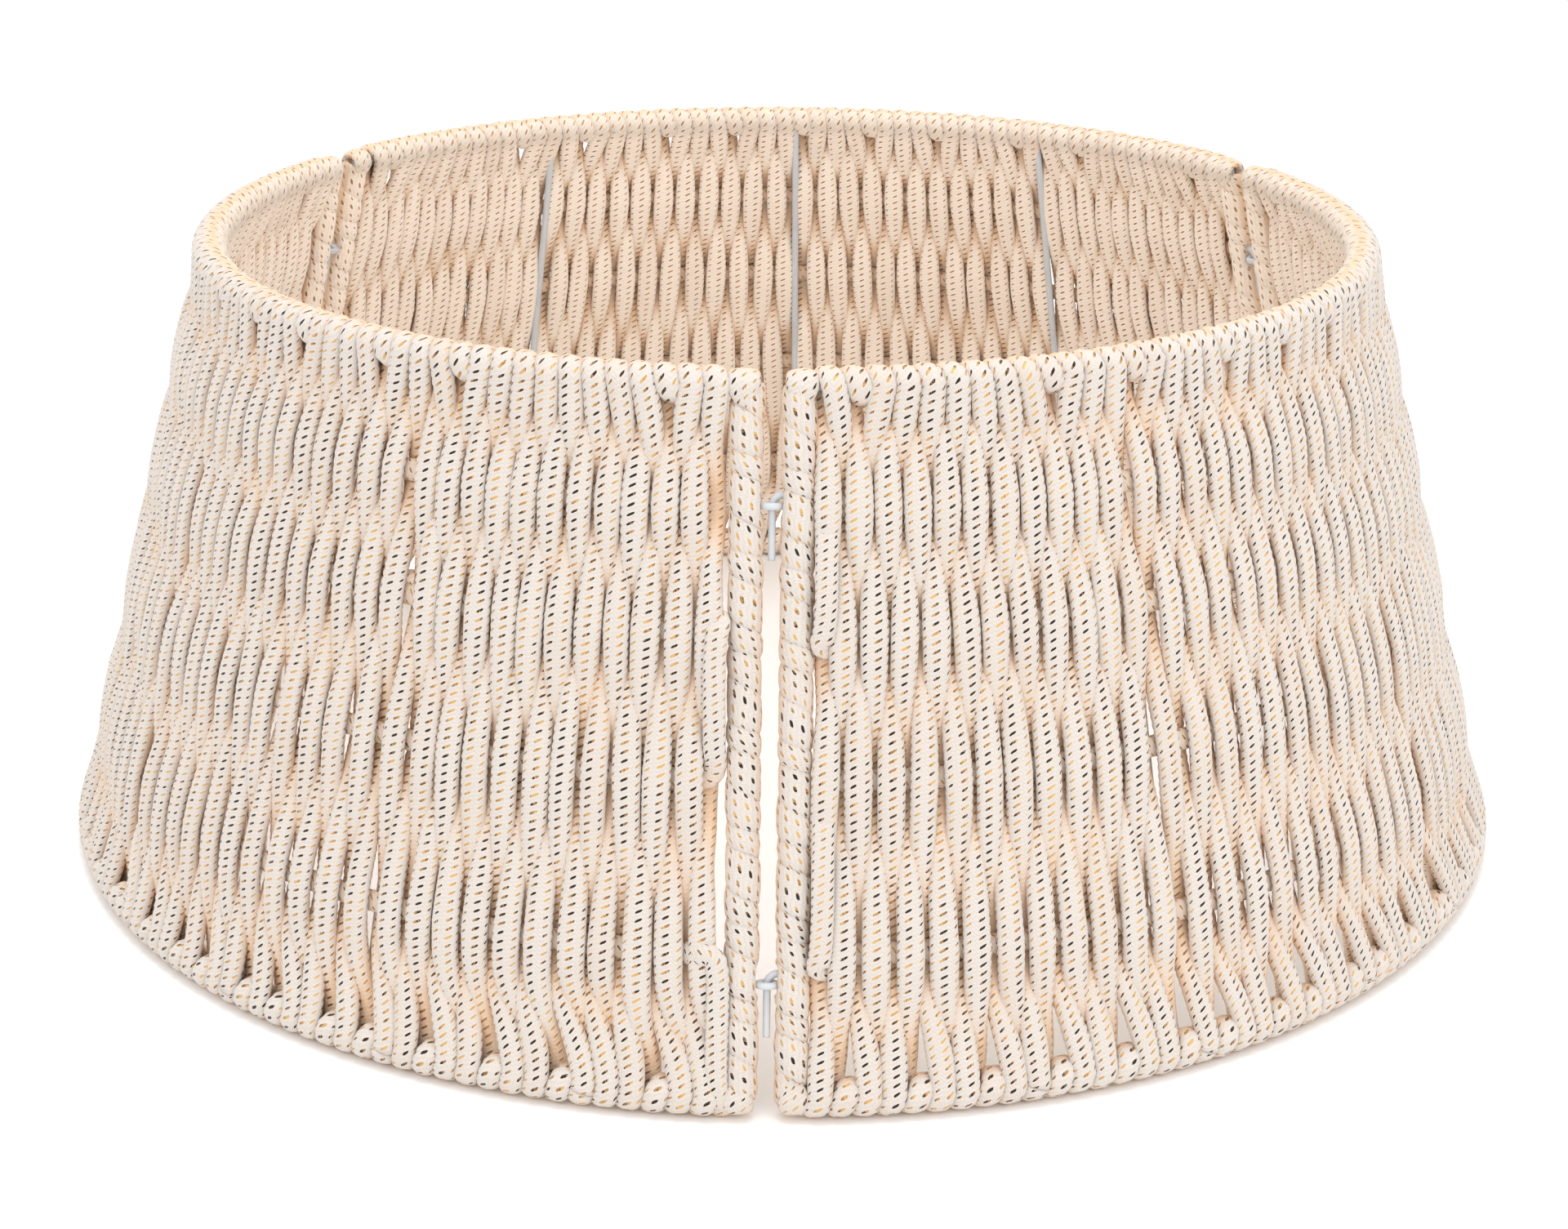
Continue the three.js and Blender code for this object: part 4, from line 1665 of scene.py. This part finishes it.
    def cap(
        self, mesh: TubeMesh, end: End, base: float, sign: int, rng: np.random.Generator
    ) -> None:
        """Adds the turn over an end of an upright.

        Args:
            mesh: The mesh that it is added to, in the right panel's place.
            end: The upright's end of the panel.
            base: Distance up the wall of the rail there.
            sign: 1 at the top rail and -1 at the bottom rail.
            rng: The source of where its braid starts.
        """
        wall = self.weave.wall
        across = turned(np.array([1.0, 0, 0]), end.value * wall.panel_angle)
        beta = np.linspace(0, np.pi, self.arch_points)
        legs = base - sign * np.array(self.cap_legs)
        tuck = self.reach - np.array(self.cap_tucks)
        out = np.concatenate([tuck, self.reach * np.cos(beta), -tuck[::-1]])
        rise = np.concatenate([legs, sign * self.cap_reach * np.sin(beta) + base, legs[::-1]])
        level = np.array([*self.cap_levels, *np.ones(len(beta)), *self.cap_levels[::-1]])
        side = wall.upright_side + (self.cap_side - wall.upright_side) * level
        start, turn = rng.uniform(0, 1, 2)
        width = self.cap_end + (self.cap_width - self.cap_end) * level
        cap = wall.beside(end, side, out, rise)
        mesh.add(cap, across, width, self.cap_depth, start, turn, self.braids)

    def part(self, mesh: TubeMesh, end: End) -> None:
        """Presses the cord back from the rings on the seam's line.

        Args:
            mesh: The wound cord, in the right panel's place.
            end: Its end of the panel.
        """
        wall = self.weave.wall
        back_turn = -end.value * wall.panel_angle
        up = wall.up(End.PIN)
        foot = np.array([0, -wall.bottom_radius, wall.bottom_height])
        for place in ("upper", "lower"):
            pin_low, pin_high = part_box(f"right_{place}_pin")
            eye_low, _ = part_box(f"left_{place}_eye")
            low = wall.along_at(eye_low.z) - self.eye_below
            high = wall.along_at(pin_high.z) + self.eye_above
            for block in mesh.points:
                local = turned(block, back_turn) - foot
                along = local @ up
                off = local - along[:, None] * up
                distance = np.linalg.norm(off, axis=1)
                inside = eased((along - low) / self.eye_fade + 1)
                inside = inside * eased((high - along) / self.eye_fade + 1)
                wanted = np.maximum(distance, self.eye_room * inside)
                scale = np.where(distance > 0, wanted / np.maximum(distance, 1e-9), 1)
                local = along[:, None] * up + off * scale[:, None]
                block[:] = turned(local + foot, -back_turn)


# ----------------------------------------------------------------------------------------- studio


@dataclass
class Studio:
    """A pale floor, soft lights and the camera."""

    distance: float = 1.374
    azimuth: float = math.radians(1.0)
    roll: float = math.radians(0.4)
    elevation: float = math.radians(20.47)
    aim_height: float = 0.082
    lens: float = 66.93
    floor_size: float = 12.0
    pale: Colour = (0.95, 0.95, 0.95, 1)
    shade: Colour = (0.88, 0.88, 0.88, 1)
    room_light: float = 1.05

    def build(self) -> None:
        """Sets up everything that isn't the object."""
        scene = bpy.context.scene
        scene.view_settings.view_transform = "Standard"
        self.floor()
        self.world()
        self.lights()
        self.camera()

    def floor(self) -> None:
        """Lays a plain pale floor."""
        mesh = bpy.data.meshes.new("floor")
        h = self.floor_size / 2
        mesh.from_pydata([(-h, -h, 0), (h, -h, 0), (h, h, 0), (-h, h, 0)], [], [(0, 1, 2, 3)])
        floor = bpy.data.objects.new("floor", mesh)
        bpy.context.scene.collection.objects.link(floor)
        g = Graph("pale_floor")
        here = g.here()
        faint = g.times(g.noise(here, 3.0, 2.0), 0.02)
        g.set(
            Base_Color=g.mix(faint, self.pale, self.shade),
            Roughness=0.9,
            Specular_IOR_Level=0.1,
        )
        mesh.materials.append(g.material)

    def world(self) -> None:
        """Fills the room with even white light."""
        world = bpy.data.worlds.new("studio")
        bpy.context.scene.world = world
        world.use_nodes = True
        background = world.node_tree.nodes["Background"]
        background.inputs["Color"].default_value = (1.0, 1.0, 1.0, 1)
        background.inputs["Strength"].default_value = self.room_light

    def lights(self) -> None:
        """Hangs three soft boxes, each with its place, size and power."""
        self.soft_box("key", (-1.0, -2.1, 1.5), 1.8, 7)
        self.soft_box("fill", (1.5, -1.7, 1.2), 1.6, 9)
        self.soft_box("top", (0.0, -0.1, 2.0), 1.0, 14)

    def soft_box(self, name: str, place: tuple[float, float, float], size: float, power: float) -> None:
        """Hangs one square lamp aimed at the object.

        Args:
            name: The lamp's name.
            place: Where it hangs.
            size: Its side in metres.
            power: Its watts.
        """
        data = bpy.data.lights.new(name, "AREA")
        data.size = size
        data.energy = power
        lamp = bpy.data.objects.new(name, data)
        lamp.location = place
        aim = Vector((0, 0, 0.1)) - Vector(place)
        lamp.rotation_euler = aim.to_track_quat("-Z", "Y").to_euler()
        bpy.context.scene.collection.objects.link(lamp)

    def camera(self) -> None:
        """Stands the camera in front of the opening seam, a little above the rim."""
        data = bpy.data.cameras.new("camera")
        data.lens = self.lens
        data.sensor_width = 36.0
        camera = bpy.data.objects.new("camera", data)
        target = Vector((0, 0, self.aim_height))
        level = math.cos(self.elevation)
        back = Vector((level * math.sin(self.azimuth), -level * math.cos(self.azimuth), 0))
        back.z = math.sin(self.elevation)
        camera.location = target + back * self.distance
        aim = (-back).to_track_quat("-Z", "Y") @ Quaternion((0, 0, 1), self.roll)
        camera.rotation_euler = aim.to_euler()
        bpy.context.scene.collection.objects.link(camera)
        bpy.context.scene.camera = camera


def main() -> None:
    """Builds the collar and its studio."""
    logging.basicConfig(level=logging.INFO, format="%(message)s")
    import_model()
    Studio().build()
    wall = Wall.from_frame()
    braid = Braid()
    dresser = Dresser(cord=BraidedCord(wall, braid).make(), wire=PowderCoat().make())
    weave = Weave(wall, braid)
    for panel in Panel:
        WireFrame(wall, dresser).build(panel)
        Warp(weave, dresser).build(panel)
        Weft(weave, dresser).build(panel)
        EdgeWraps(weave, dresser).build(panel)


if __name__ == "__main__":
    main()
